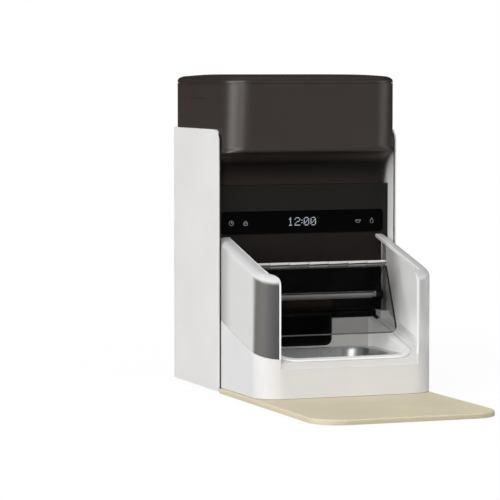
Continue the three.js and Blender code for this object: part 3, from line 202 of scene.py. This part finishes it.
def colour(code):
    """Linear colour of a #rrggbb code."""
    parts = [int(code[i:i + 2], 16) / 255 for i in (1, 3, 5)]
    return tuple(p / 12.92 if p <= 0.04045 else ((p + 0.055) / 1.055) ** 2.4 for p in parts)


def scaled(rgb, factor):
    """Colour times a factor, with its alpha."""
    return tuple(min(1.0, c * factor) for c in rgb) + (1.0,)


def paint(code):
    """Colour of a #rrggbb code with its alpha, as a socket takes it."""
    return scaled(colour(code), 1)


# Materials
class Finish:
    """A material with a Principled shader and a small set of procedural helpers."""

    def __init__(self, name):
        self.material = bpy.data.materials.new(name)
        self.material.use_nodes = True
        self.nodes = self.material.node_tree.nodes
        self.links = self.material.node_tree.links
        self.shader = self.nodes["Principled BSDF"]
        self.coordinates = self.nodes.new("ShaderNodeTexCoord")

    def link(self, output, target):
        self.links.new(output, target)

    def fix(self, key, value):
        """Sets a value that is the same all over on the shader's own socket."""
        self.shader.inputs[key].default_value = value
        return self

    def drive(self, key, output):
        """Lets an output set one of the shader's sockets."""
        self.link(output, self.shader.inputs[key])

    def source(self, key):
        """The output that sets one of the shader's sockets so far."""
        return self.shader.inputs[key].links[0].from_socket

    def overlay(self, share, code):
        """Paints a colour over the base colour, by share."""
        self.drive("Base Color", self.mix(share, self.source("Base Color"), paint(code)))

    def noise(self, scale, detail=3.0, stretch=(1, 1, 1)):
        mapping = self.nodes.new("ShaderNodeMapping")
        mapping.inputs["Scale"].default_value = stretch
        self.link(self.coordinates.outputs["Object"], mapping.inputs["Vector"])
        texture = self.nodes.new("ShaderNodeTexNoise")
        texture.inputs["Scale"].default_value = scale
        texture.inputs["Detail"].default_value = detail
        self.link(mapping.outputs["Vector"], texture.inputs["Vector"])
        return texture.outputs["Fac"]

    def span(self, factor, low, high):
        """Maps the middle of a noise's range to low..high."""
        node = self.nodes.new("ShaderNodeMapRange")
        node.inputs["From Min"].default_value, node.inputs["From Max"].default_value = NOISE_MIDDLE
        node.inputs["To Min"].default_value = low
        node.inputs["To Max"].default_value = high
        self.link(factor, node.inputs["Value"])
        return node.outputs["Result"]

    def ramp(self, value, low, high):
        """0 below low, 1 above high, smooth between them."""
        node = self.nodes.new("ShaderNodeMapRange")
        node.interpolation_type = "SMOOTHSTEP"
        node.inputs["From Min"].default_value = low
        node.inputs["From Max"].default_value = high
        self.link(value, node.inputs["Value"])
        return node.outputs["Result"]

    def below(self, value, low, high):
        """1 below low, 0 above high, smooth between them."""
        return self.inverse(self.ramp(value, low, high))

    def mix(self, factor, first, second):
        node = self.nodes.new("ShaderNodeMix")
        node.data_type = "RGBA"
        self.link(factor, node.inputs["Factor"])
        for value, key in ((first, "A"), (second, "B")):
            socket = [s for s in node.inputs if s.name == key and s.type == "RGBA"][0]
            if isinstance(value, bpy.types.NodeSocket):
                self.link(value, socket)
            else:
                socket.default_value = value
        return [s for s in node.outputs if s.type == "RGBA"][0]

    def math(self, operation, first, second=0.0):
        node = self.nodes.new("ShaderNodeMath")
        node.operation = operation
        for value, socket in ((first, node.inputs[0]), (second, node.inputs[1])):
            if isinstance(value, bpy.types.NodeSocket):
                self.link(value, socket)
            else:
                socket.default_value = value
        return node.outputs[0]

    def inverse(self, value):
        return self.math("SUBTRACT", 1.0, value)

    def times(self, first, second):
        return self.math("MULTIPLY", first, second)

    def absolute(self, value):
        return self.math("ABSOLUTE", value)

    def greater(self, first, second):
        return self.math("MAXIMUM", first, second)

    def vector(self, operation, first, second=None):
        """The outputs of one vector operation."""
        node = self.nodes.new("ShaderNodeVectorMath")
        node.operation = operation
        self.link(first, node.inputs[0])
        if second:
            node.inputs[1].default_value = second
        return node.outputs

    def along(self, direction, source="Normal"):
        """Dot product of the surface's normal, or of its place, with a direction."""
        return self.vector("DOT_PRODUCT", self.coordinates.outputs[source], direction)["Value"]

    def see_through(self, factor, shade):
        """Lets the share in factor straight through, tinted by shade."""
        open_shader = self.nodes.new("ShaderNodeBsdfTransparent")
        open_shader.inputs["Color"].default_value = paint(shade)
        blend = self.nodes.new("ShaderNodeMixShader")
        self.link(factor, blend.inputs["Fac"])
        self.link(self.shader.outputs[0], blend.inputs[1])
        self.link(open_shader.outputs[0], blend.inputs[2])
        self.link(blend.outputs[0], self.nodes["Material Output"].inputs["Surface"])
        return self

    def tint(self, rgb, spread, scale=14.0):
        """Base colour that drifts gently over the surface."""
        drift = self.span(self.noise(scale), 0.0, 1.0)
        self.drive("Base Color", self.mix(drift, scaled(rgb, 1 - spread), scaled(rgb, 1 + spread)))
        return self

    def rough(self, low, high, scale=60.0, stretch=(1, 1, 1)):
        self.drive("Roughness", self.span(self.noise(scale, stretch=stretch), low, high))
        return self

    def grain(self, scale, depth, strength=0.4, stretch=(1, 1, 1)):
        """Fine bumps, depth in metres."""
        bump = self.nodes.new("ShaderNodeBump")
        bump.inputs["Strength"].default_value = strength
        bump.inputs["Distance"].default_value = depth
        self.link(self.noise(scale, 2.0, stretch), bump.inputs["Height"])
        self.drive("Normal", bump.outputs["Normal"])
        return self


def moulded(name, code, roughness, specular=0.5, spread=0.03, grain=0.00003, grain_scale=1800.0, drift=0.04):
    """Moulded plastic with a fine spark-eroded texture."""
    finish = Finish(name).tint(colour(code), spread)
    finish.rough(roughness - drift, roughness + drift)
    finish.grain(grain_scale, grain)
    return finish.fix("Specular IOR Level", specular)


def metal(name, code, roughness, stretch=(1, 1, 1), scale=700.0):
    """Bare metal with fine lines along the stretched axis."""
    finish = Finish(name).tint(colour(code), METAL_SPREAD, METAL_PATCHES)
    finish.rough(roughness - METAL_SMOOTHER, roughness + METAL_ROUGHER, scale, stretch)
    finish.grain(scale, METAL_LINE_DEPTH, METAL_LINE_STRENGTH, stretch)
    return finish.fix("Metallic", 1.0)


def guard_plastic(name):
    """Milky on the flat sides and the rolled top, clear where the wall curves round the front, with painted
    shade and light: the left guard's curved zone painted smoky dark, the right guard painted lighter and
    lighter still low down, the flat sides darker towards the shell, the rolled top greyer, and painted
    highlights along the free edge and the lip.
    """
    finish = moulded(name, "#d4d4d3", GUARD_ROUGH, spread=0.01, grain=0.00001, grain_scale=300.0)
    up = finish.along(UP)
    side = finish.along(RIGHT, "Object")
    depth = finish.along(BACK, "Object")
    across = finish.absolute(side)
    left = finish.below(side, *GUARD_MIDDLE)

    upright = finish.below(up, *GUARD_UPRIGHT)
    curved = finish.times(finish.ramp(finish.absolute(finish.along(BACK)), *GUARD_FACING), upright)
    guards = [frame["nodes"][node].data for node in ("guard_left", "guard_right")]
    free_edge = min(abs(v.co.x) for mesh in guards for v in mesh.vertices) + GUARD_FREE_LINE
    # Painted highlight: a light line along the upright free edge
    free_edge_highlight = finish.below(across, free_edge, free_edge + MASK_EDGE)
    half_line = GUARD_LIP_LINE / 2
    beside_lip = finish.absolute(finish.math("SUBTRACT", across, GUARD_LIP + half_line))
    near_lip = finish.below(beside_lip, half_line, half_line + MASK_EDGE)
    on_lip = finish.times(near_lip, finish.ramp(up, *GUARD_LIP_UP))
    # Painted highlight: a light line along the lip
    lip_highlight = finish.times(on_lip, finish.ramp(depth, *GUARD_LIP_START))
    # Painted light: the right guard is painted near-white low down
    low_right_painted_light = finish.times(finish.below(finish.along(UP, "Object"), *GUARD_LOW), finish.inverse(left))

    # Painted shade: the left guard's curved zone is painted smoky dark, darker towards its free edge, where
    # the right guard's stays clear
    left_painted_shade = finish.mix(finish.ramp(side, *GUARD_LEFT_SHADE_SPAN), paint("#63625f"), paint("#4b4a4c"))
    clear_zone = finish.mix(left, paint("#d8d8d8"), left_painted_shade)
    # Painted light: the right guard is painted a lighter white than the left, though both are the same
    # plastic
    base = finish.mix(left, paint("#e2e2e2"), finish.source("Base Color"))
    for share, shade in (
        # painted light low on the right guard
        (low_right_painted_light, paint("#fbfbfb")),
        # painted shadow: the flat sides darker towards the shell's front edge, where its wall shades them
        (finish.ramp(depth, *GUARD_SHADE), paint("#a9a7a4")),
        (curved, clear_zone),
        # painted shade: the rolled top greyer where it faces up
        (finish.ramp(up, *GUARD_TOP), paint("#c6c6c6")),
        # painted highlights along the upright free edge and the lip
        (finish.greater(finish.times(free_edge_highlight, upright), lip_highlight), paint("#f8f8f8")),
    ):
        base = finish.mix(share, base, shade)
    finish.drive("Base Color", base)

    inside = finish.times(curved, finish.inverse(finish.greater(free_edge_highlight, left)))
    finish.drive("Transmission Weight", finish.times(inside, GUARD_CLEAR))
    finish.drive("Roughness", finish.math("ADD", GUARD_ROUGH, finish.times(inside, GUARD_ROUGHER)))
    finish.drive("IOR", finish.math("SUBTRACT", GUARD_IOR, finish.times(inside, GUARD_IOR_DROP)))
    shadow = finish.nodes.new("ShaderNodeLightPath").outputs["Is Shadow Ray"]
    return finish.see_through(finish.times(shadow, GUARD_LAMP_SHARE), "#ffffff")


def shell_plastic(name):
    """White plastic with a painted shadow line along the inner part of the walls' front edges, for the shade
    in the gap to the base.
    """
    finish = moulded(name, "#e0dfdd", WHITE_ROUGH)
    across = finish.absolute(finish.along(RIGHT, "Object"))
    inner = finish.below(across, JOINT_REACH, JOINT_REACH + MASK_EDGE)
    # Painted shadow: the inner part of the front edges is painted near-black for the shade in the gap to the
    # base
    finish.overlay(finish.times(inner, finish.ramp(finish.along(FRONT), *JOINT_FACING)), "#101010")
    return finish


def lid_sheet(name, direction, side_line=None, end_line=None):
    """Thin clear sheet with painted shade on its cut edges and, where given, painted dark lines along an end
    and a side, whose faces carry faint streaks.
    """
    finish = moulded(name, "#2b2a29", 0.1, specular=0.35, spread=0.02, grain=0.000004, grain_scale=200.0)
    side = finish.absolute(finish.along(RIGHT))
    end = finish.absolute(finish.along(direction))
    # Painted shade: the cut edges are painted dark and solid
    edge = finish.times(finish.ramp(finish.greater(side, end), *SHEET_CUT), SHEET_EDGE)
    streaks = finish.span(finish.noise(STREAK_SCALE, 2.0, STREAK_STRETCH), 0.0, SHEET_STREAKS)
    solid = finish.greater(edge, finish.math("ADD", streaks, SHEET_FILM))
    # Painted shade: a grey line along the end and a near-black line along the side
    for line, axis, code in ((end_line, direction, "#565554"), (side_line, RIGHT, "#0c0c0c")):
        if line:
            past = finish.ramp(finish.along(axis, "Object"), line, line + MASK_EDGE)
            finish.overlay(past, code)
            solid = finish.greater(solid, past)
    return finish.see_through(finish.inverse(solid), "#e4e4e4")


def housing_plastic(name, code, low_shade_code, high_shade_code):
    """Brown plastic with painted shade on the hollow curve over the bowl, darkest high up, and duller and
    rougher on top.
    """
    finish = moulded(name, code, 0.38, spread=0.04, grain=0.000006, drift=0.01)
    up = finish.along(UP)
    height = finish.along(UP, "Object")
    inward = finish.below(finish.absolute(finish.along(RIGHT)), *CANOPY_SIDES)
    down = finish.times(finish.below(height, *BROW_FOOT), inward)
    # Painted shade: the hollow curve under the brow is painted darker, darkest high up under the brow
    shade = finish.mix(finish.ramp(height, *CANOPY), paint(low_shade_code), paint(high_shade_code))
    finish.drive("Base Color", finish.mix(down, finish.source("Base Color"), shade))
    dull = finish.times(finish.greater(down, finish.ramp(up, *TOP_DULL)), BROWN_DULLER)
    finish.drive("Specular IOR Level", finish.math("SUBTRACT", BROWN_SPECULAR, dull))
    flat_top = finish.times(finish.ramp(up, *TOP_FLAT), TOP_ROUGHER)
    finish.drive("Roughness", finish.math("ADD", finish.source("Roughness"), flat_top))
    return finish


def base_plastic(name):
    """White plastic with a black strip behind the tray, between the two blocks at the back of the ledge."""
    finish = moulded(name, "#dcdbdb", WHITE_ROUGH)
    across = finish.absolute(finish.along(RIGHT, "Object"))
    depth = finish.along(BACK, "Object")
    strip = 0.0
    for reach, start in STRIP:
        between = finish.below(across, reach, reach + MASK_EDGE)
        behind = finish.ramp(depth, start, start + MASK_EDGE)
        strip = finish.greater(finish.times(between, behind), strip)
    strip = finish.times(strip, finish.below(depth, STRIP_END, STRIP_END + MASK_EDGE))
    finish.overlay(strip, "#0d0c0c")
    specular = finish.math("SUBTRACT", BASE_SPECULAR, finish.times(strip, STRIP_DULLER))
    finish.drive("Specular IOR Level", specular)
    return finish


def tray_plastic(name):
    """White plastic with painted shade: greyer on its level faces and on the wall behind the bowl."""
    finish = moulded(name, "#f4f3f0", 0.36)
    back = finish.ramp(finish.along(BACK, "Object"), *TRAY_BACK)
    # Painted shade: the level faces are painted greyer
    finish.overlay(finish.ramp(finish.along(UP), *TRAY_LEVEL), "#dedddb")
    # Painted shade: the wall behind the bowl is painted greyer where it faces the front
    finish.overlay(finish.times(back, finish.ramp(finish.along(FRONT), *TRAY_FACING)), "#cccbc8")
    return finish


def lid_bar(name, code, low_shade_code, axis, barrel, half_length=None, crease=None):
    """Grey bar with painted shade below and a dark line painted along its crease, whose grips past the
    barrel are clear and whose ends are black.
    """
    finish = moulded(name, code, 0.3, specular=0.4)
    up = finish.along(UP)
    # Painted shade: the bar is painted darker where it faces down
    base = finish.mix(finish.ramp(up, *BAR_UNDERSIDE), paint(low_shade_code), paint(code))
    # Painted shade: a dark line painted along the crease between the upper and lower bands
    if crease:
        line = finish.below(finish.absolute(finish.math("SUBTRACT", up, crease)), *BAR_CREASE_EDGE)
        base = finish.mix(line, base, paint("#2e2c2a"))
    finish.drive("Base Color", base)
    if half_length:
        across = finish.absolute(finish.along(RIGHT, "Object"))
        finish.overlay(finish.ramp(across, half_length, half_length + MASK_EDGE), "#0b0b0b")
    offset = finish.vector("SUBTRACT", finish.coordinates.outputs["Object"], (0, *axis))["Vector"]
    flat = finish.vector("MULTIPLY", offset, (0, 1, 1))["Vector"]
    past = finish.ramp(finish.vector("LENGTH", flat)["Value"], barrel, barrel + MASK_EDGE)
    return finish.see_through(finish.times(past, GRIP_CLEAR), "#f2f3f3")


def board(name):
    """Circuit board: green lacquer over a pattern of tracks."""
    finish = Finish(name)
    tracks = finish.nodes.new("ShaderNodeTexBrick")
    tracks.inputs["Scale"].default_value = TRACK_SCALE
    tracks.inputs["Mortar Size"].default_value = TRACK_WIDTH
    finish.link(finish.coordinates.outputs["Object"], tracks.inputs["Vector"])
    finish.drive("Base Color", finish.mix(tracks.outputs["Fac"], paint("#1c5a38"), paint("#3f8a55")))
    return finish.rough(*LACQUER_ROUGH).grain(*LACQUER_GRAIN)


FINISHES = {
    "white_plastic": moulded("white_plastic", "#e0dfdd", WHITE_ROUGH),
    "tray_plastic": tray_plastic("tray_plastic"),
    # The last two colours are the canopy's painted shade, low and high
    "brown_plastic": housing_plastic("brown_plastic", "#2f2824", "#2b2522", "#0f0c0b"),
    "black_plastic": moulded("black_plastic", "#1e1d1b", 0.42, specular=0.12),
    "brown_black_plastic": moulded("brown_black_plastic", "#1d1917", 0.4, specular=0.12),
    "gloss_black": moulded(
        "display_gloss", "#040404", 0.09, specular=0.06, grain=0.000004, grain_scale=120.0,
    ),
    "grey_plastic": moulded("grey_plastic", "#b3afab", 0.34),
    "milky_clear": guard_plastic("milky_guard"),
    "silicone": moulded(
        "silicone", "#cdc3a9", 0.62, specular=0.3, spread=0.04, grain=0.00006, grain_scale=900.0,
    ),
    "rubber": moulded("rubber", "#242424", 0.7, specular=0.3, grain=0.00006),
    "stainless": metal("stainless", "#cfd0d1", 0.3, stretch=(1, 14, 14)),
    "steel": metal("bright_steel", "#a9a9aa", 0.3),
    "circuit_board": board("circuit_board"),
    "copper": metal("copper_wire", "#b4693f", 0.35, stretch=(0.1, 1, 1), scale=3000.0),
    "cell_wrap": moulded("cell_wrap", "#3b3f45", 0.25, grain=0.00002, grain_scale=400.0),
}
OWN_FINISHES = {
    "shell": shell_plastic("shell_plastic"),
    "base_housing": base_plastic("base_white_plastic"),
    "front_plate": lid_sheet("front_sheet", FRONT_SHEET_DOWN, FRONT_SHEET_SIDE, FRONT_SHEET_END),
    "rear_plate": lid_sheet("rear_sheet", REAR_SHEET_UP),
    "rear_bar": lid_bar("rear_bar_plastic", "#cfcdcb", "#a3a19f", HINGE_AXIS, REAR_BARREL, REAR_BAR_HALF),
    "bowl_sensor": moulded("sensor_bar", "#33271f", 0.45, specular=0.12),
}
for node in ("fold_bar", "front_bar"):
    OWN_FINISHES[node] = lid_bar(
        f"{node}_plastic", "#c8c6c4", "#8c8a88", FOLD_AXIS, FOLD_BARREL, crease=BAR_CREASE,
    )
CAVITY_NODES = (
    "cavity_liner", "food_chute", "inner_frame", "hinge_bracket_left", "hinge_bracket_right",
    "lid_gear", "lid_pinion", "lid_motor_mount",
)
OWN_FINISHES.update(dict.fromkeys(CAVITY_NODES, moulded("cavity_plastic", "#141313", 0.5, specular=0.12)))
FINE_NODES = (
    "latch_spring", "screw_", "lid_gear", "lid_pinion", "rotor", "fold_pin", "hinge_pin", "plate", "_bar",
)


# Smooth shading for the faceted CAD pieces
def smooth_group():
    """Geometry nodes that shade a mesh smooth except at edges sharper than SMOOTH_ANGLE."""
    group = bpy.data.node_groups.new("smooth_by_angle", "GeometryNodeTree")
    group.interface.new_socket("Geometry", in_out="INPUT", socket_type="NodeSocketGeometry")
    group.interface.new_socket("Geometry", in_out="OUTPUT", socket_type="NodeSocketGeometry")
    group.is_modifier = True
    nodes, links = group.nodes, group.links
    start = nodes.new("NodeGroupInput")
    end = nodes.new("NodeGroupOutput")
    faces = nodes.new("GeometryNodeSetShadeSmooth")
    faces.domain = "FACE"
    faces.inputs["Shade Smooth"].default_value = True
    edges = nodes.new("GeometryNodeSetShadeSmooth")
    edges.domain = "EDGE"
    edges.inputs["Shade Smooth"].default_value = False
    angle = nodes.new("GeometryNodeInputMeshEdgeAngle")
    sharp = nodes.new("FunctionNodeCompare")
    sharp.data_type = "FLOAT"
    sharp.operation = "GREATER_THAN"
    sharp.inputs["B"].default_value = SMOOTH_ANGLE
    links.new(start.outputs[0], faces.inputs["Geometry"])
    links.new(faces.outputs[0], edges.inputs["Geometry"])
    links.new(angle.outputs["Unsigned Angle"], sharp.inputs["A"])
    links.new(sharp.outputs["Result"], edges.inputs["Selection"])
    links.new(edges.outputs[0], end.inputs[0])
    return group


SMOOTH = smooth_group()


def soften(obj, width):
    """Welds the facets, rounds the sharp edges a little and shades the rest smooth."""
    weld = obj.modifiers.new("weld", "WELD")
    weld.merge_threshold = WELD_DISTANCE
    bevel = obj.modifiers.new("edges", "BEVEL")
    bevel.limit_method = "ANGLE"
    bevel.angle_limit = SMOOTH_ANGLE
    bevel.width = width
    bevel.segments = EDGE_SEGMENTS
    bevel.use_clamp_overlap = True
    smooth = obj.modifiers.new("smooth", "NODES")
    smooth.node_group = SMOOTH
    weighted = obj.modifiers.new("weighted", "WEIGHTED_NORMAL")
    weighted.mode = "FACE_AREA"
    weighted.weight = LARGE_FACE_WEIGHT
    weighted.keep_sharp = True


slots = {row["node"]: row["material_slot"] for row in frame["record"]["subparts"]}
for node, obj in frame["nodes"].items():
    finish = OWN_FINISHES.get(node) or FINISHES[slots[node]]
    obj.data.materials.clear()
    obj.data.materials.append(finish.material)
    fine = any(word in node for word in FINE_NODES)
    soften(obj, SMALL_EDGE_WIDTH if fine else EDGE_WIDTH)


def button_spring(side):
    """The spring of one push button, copied with its own mesh and carried by the feeder in place of the CAD
    piece.
    """
    node = f"latch_spring_{side}"
    obj = bpy.data.objects.new(f"button_spring_{side}", frame["nodes"][node].data.copy())
    obj.matrix_world = frame["nodes"][node].matrix_world
    bpy.context.scene.collection.objects.link(obj)
    soften(obj, SMALL_EDGE_WIDTH)
    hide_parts(node)
    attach(obj, "feeder")
    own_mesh(obj)


button_spring("left")
button_spring("right")


# Display marks: flat prisms a hair proud of the window
def prisms(name, shapes, finish):
    """One mesh of flat prisms on the display's face. Each shape is a list of (x, z) corners in order."""
    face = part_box("display_window")[0][1]
    vertices, faces = [], []
    for shape in shapes:
        first, count = len(vertices), len(shape)
        vertices += [(x, face - MARK_PROUD, z) for x, z in shape]
        vertices += [(x, face + MARK_PROUD, z) for x, z in shape]
        faces.append([first + i for i in range(count)])
        faces.append([first + count + i for i in reversed(range(count))])
        for i in range(count):
            j = (i + 1) % count
            faces.append([first + i, first + count + i, first + count + j, first + j])
    mesh = bpy.data.meshes.new(name)
    mesh.from_pydata(vertices, [], faces)
    mesh.materials.append(finish.material)
    obj = bpy.data.objects.new(name, mesh)
    bpy.context.scene.collection.objects.link(obj)
    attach(obj, "feeder")


DIGITS = {
    "0": ("01110", "10001", "10011", "10101", "11001", "10001", "01110"),
    "1": ("00100", "01100", "00100", "00100", "00100", "00100", "01110"),
    "2": ("01110", "10001", "00001", "00110", "01000", "10000", "11111"),
    ":": ("0", "0", "1", "0", "1", "0", "0"),
}
CLOCK_TEXT = "12:00"
SQUARE = ((-1, -1), (1, -1), (1, 1), (-1, 1))


def dot_matrix():
    """The time in dots, seven rows high."""
    columns = []
    for character in CLOCK_TEXT:
        rows = DIGITS[character]
        columns += ["".join(row[i] for row in rows) for i in range(len(rows[0]))] + ["0" * DOT_ROWS]
    columns.pop()
    left = TEXT_MIDDLE[0] - DOT_PITCH * (len(columns) - 1) / 2
    top = TEXT_MIDDLE[1] + DOT_PITCH * (DOT_ROWS - 1) / 2
    reach = DOT_SIZE / 2
    shapes = []
    for i, column in enumerate(columns):
        for row, lit in enumerate(column):
            if lit == "1":
                x, z = left + DOT_PITCH * i, top - DOT_PITCH * row
                shapes.append([(x + u * reach, z + v * reach) for u, v in SQUARE])
    return shapes


def arc(height, radius, start=0, end=360, steps=16):
    """Points round a middle that lies at a height. Angles are in degrees."""
    turns = [math.radians(start + (end - start) * i / steps) for i in range(steps + 1)]
    return [(radius * math.cos(turn), height + radius * math.sin(turn)) for turn in turns]


# Touch marks: outlines in shares of MARK_REACH, round each mark's middle
MARK_SHARES = {
    "clock": (arc(0, 0.85), [(0, 0.5), (0, 0), (0.4, 0)]),
    "lock": ([(-0.7, -0.8), (0.7, -0.8), (0.7, 0), (-0.7, 0), (-0.7, -0.8)], arc(0.2, 0.45, 0, 180, 8)),
    "bowl": (arc(0.2, 0.9, 180, 360, 10), [(-1, 0.25), (1, 0.25)]),
    "drop": (arc(-0.3, 0.6, 150, 390, 12), [(-0.52, 0), (0, 0.9), (0.52, 0)]),
}


def stroke(points):
    """Quads along a polyline."""
    path = [Vector(p) for p in points]
    quads = []
    for a, b in zip(path, path[1:]):
        along = (b - a).normalized()
        side = Vector((-along.y, along.x)) * MARK_LINE / 2
        a, b = a - along * MARK_LINE / 2, b + along * MARK_LINE / 2
        quads.append([tuple(a - side), tuple(b - side), tuple(b + side), tuple(a + side)])
    return quads


def touch_marks():
    """Four generic touch marks: a clock, a padlock, a bowl and a drop."""
    shapes = []
    for mark, outlines in MARK_SHARES.items():
        middle = MARK_PLACES[mark]
        for outline in outlines:
            shapes += stroke([(middle + MARK_REACH * u, MARK_HEIGHT + MARK_REACH * v) for u, v in outline])
    return shapes


def glowing(name, code, strength):
    """Print on the display that glows a little."""
    finish = moulded(name, code, 0.4, specular=0.2)
    return finish.fix("Emission Color", paint(code)).fix("Emission Strength", strength)


prisms("clock_dots", dot_matrix(), glowing("display_dots", "#b4bdd2", 0.4))
prisms("touch_marks", touch_marks(), glowing("touch_mark_ink", "#8a8d92", 0.3))


# Studio
def area_light(name, place, target, size, power):
    """A rectangular lamp that points at a target."""
    data = bpy.data.lights.new(name, "AREA")
    data.shape = "RECTANGLE"
    data.size, data.size_y = size
    data.energy = power
    obj = bpy.data.objects.new(name, data)
    obj.location = place
    obj.rotation_euler = (Vector(target) - Vector(place)).to_track_quat("-Z", "Y").to_euler()
    obj.visible_glossy = name != UNMIRRORED_LAMP
    bpy.context.scene.collection.objects.link(obj)


for lamp in LAMPS:
    area_light(*lamp)


def studio_rays(nodes, links):
    """1 for rays from the camera and refracted ones, and 1 for reflected ones."""
    light_path = nodes.new("ShaderNodeLightPath")
    straight = nodes.new("ShaderNodeMath")
    straight.operation = "MAXIMUM"
    links.new(light_path.outputs["Is Camera Ray"], straight.inputs[0])
    links.new(light_path.outputs["Is Transmission Ray"], straight.inputs[1])
    return straight.outputs[0], light_path.outputs["Is Glossy Ray"]


def studio_world():
    """Even light, white to the camera, and darker to glossy surfaces that mirror the back."""
    world = bpy.data.worlds.new("studio")
    world.use_nodes = True
    bpy.context.scene.world = world
    nodes, links = world.node_tree.nodes, world.node_tree.links
    background = nodes["Background"]
    background.inputs["Color"].default_value = (1, 1, 1, 1)
    straight, glossy = studio_rays(nodes, links)
    forward = nodes.new("ShaderNodeVectorMath")
    forward.operation = "DOT_PRODUCT"
    links.new(nodes.new("ShaderNodeTexCoord").outputs["Generated"], forward.inputs[0])
    forward.inputs[1].default_value = FRONT
    mirrored = nodes.new("ShaderNodeMapRange")
    mirrored.inputs["From Min"].default_value, mirrored.inputs["From Max"].default_value = MIRROR_SPAN
    mirrored.inputs["To Min"].default_value, mirrored.inputs["To Max"].default_value = GLOSSY_LEVEL
    links.new(forward.outputs["Value"], mirrored.inputs["Value"])
    for_glossy = nodes.new("ShaderNodeMix")
    for_glossy.inputs["A"].default_value = WORLD_LEVEL
    links.new(mirrored.outputs["Result"], for_glossy.inputs["B"])
    links.new(glossy, for_glossy.inputs["Factor"])
    for_straight = nodes.new("ShaderNodeMix")
    links.new(for_glossy.outputs[0], for_straight.inputs["A"])
    for_straight.inputs["B"].default_value = 1.0
    links.new(straight, for_straight.inputs["Factor"])
    links.new(for_straight.outputs[0], background.inputs["Strength"])


def floor_paint():
    """Pale paint that turns pure white away from the object, and lets the view from below through."""
    material = bpy.data.materials.new("floor_paint")
    material.use_nodes = True
    nodes, links = material.node_tree.nodes, material.node_tree.links
    shader = nodes["Principled BSDF"]
    shader.inputs["Roughness"].default_value = FLOOR_ROUGH
    shader.inputs["Specular IOR Level"].default_value = FLOOR_SPECULAR
    glow = nodes.new("ShaderNodeEmission")
    glow.inputs["Color"].default_value = (1, 1, 1, 1)
    place = nodes.new("ShaderNodeNewGeometry")
    distance = nodes.new("ShaderNodeVectorMath")
    distance.operation = "LENGTH"
    links.new(place.outputs["Position"], distance.inputs[0])
    fade = nodes.new("ShaderNodeMapRange")
    fade.interpolation_type = "SMOOTHSTEP"
    fade.inputs["From Min"].default_value, fade.inputs["From Max"].default_value = FLOOR_FADE
    fade.inputs["To Min"].default_value = FLOOR_GLOW
    links.new(distance.outputs["Value"], fade.inputs["Value"])
    seen = studio_rays(nodes, links)[0]
    bounce = nodes.new("ShaderNodeMapRange")
    bounce.inputs["To Min"].default_value = FLOOR_BOUNCE
    bounce.inputs["To Max"].default_value = FLOOR_SEEN
    links.new(seen, bounce.inputs["Value"])
    links.new(bounce.outputs["Result"], shader.inputs["Base Color"])
    share = nodes.new("ShaderNodeMath")
    share.operation = "MULTIPLY"
    links.new(fade.outputs["Result"], share.inputs[0])
    links.new(seen, share.inputs[1])
    blend = nodes.new("ShaderNodeMixShader")
    links.new(share.outputs[0], blend.inputs["Fac"])
    links.new(shader.outputs[0], blend.inputs[1])
    links.new(glow.outputs[0], blend.inputs[2])
    from_below = nodes.new("ShaderNodeMixShader")
    links.new(place.outputs["Backfacing"], from_below.inputs["Fac"])
    links.new(blend.outputs[0], from_below.inputs[1])
    links.new(nodes.new("ShaderNodeBsdfTransparent").outputs[0], from_below.inputs[2])
    links.new(from_below.outputs[0], nodes["Material Output"].inputs["Surface"])
    return material


def floor():
    """A round floor just under the object."""
    turns = [math.tau * i / FLOOR_SIDES for i in range(FLOOR_SIDES)]
    points = [(FLOOR_RADIUS * math.cos(turn), FLOOR_RADIUS * math.sin(turn), 0) for turn in turns]
    mesh = bpy.data.meshes.new("floor")
    mesh.from_pydata(points, [], [list(range(FLOOR_SIDES))])
    mesh.materials.append(floor_paint())
    obj = bpy.data.objects.new("floor", mesh)
    obj.location.z = -FLOOR_DROP
    bpy.context.scene.collection.objects.link(obj)


studio_world()
floor()


# Camera
def camera():
    """The photograph's viewpoint."""
    data = bpy.data.cameras.new("photo_camera")
    data.sensor_width = SENSOR_WIDTH
    data.lens = CAMERA_LENS
    obj = bpy.data.objects.new("photo_camera", data)
    obj.location = CAMERA_PLACE
    obj.rotation_euler = (math.radians(90 - CAMERA_PITCH), 0, -math.radians(CAMERA_YAW))
    bpy.context.scene.collection.objects.link(obj)
    bpy.context.scene.camera = obj


camera()
bpy.context.scene.view_settings.view_transform = "Standard"
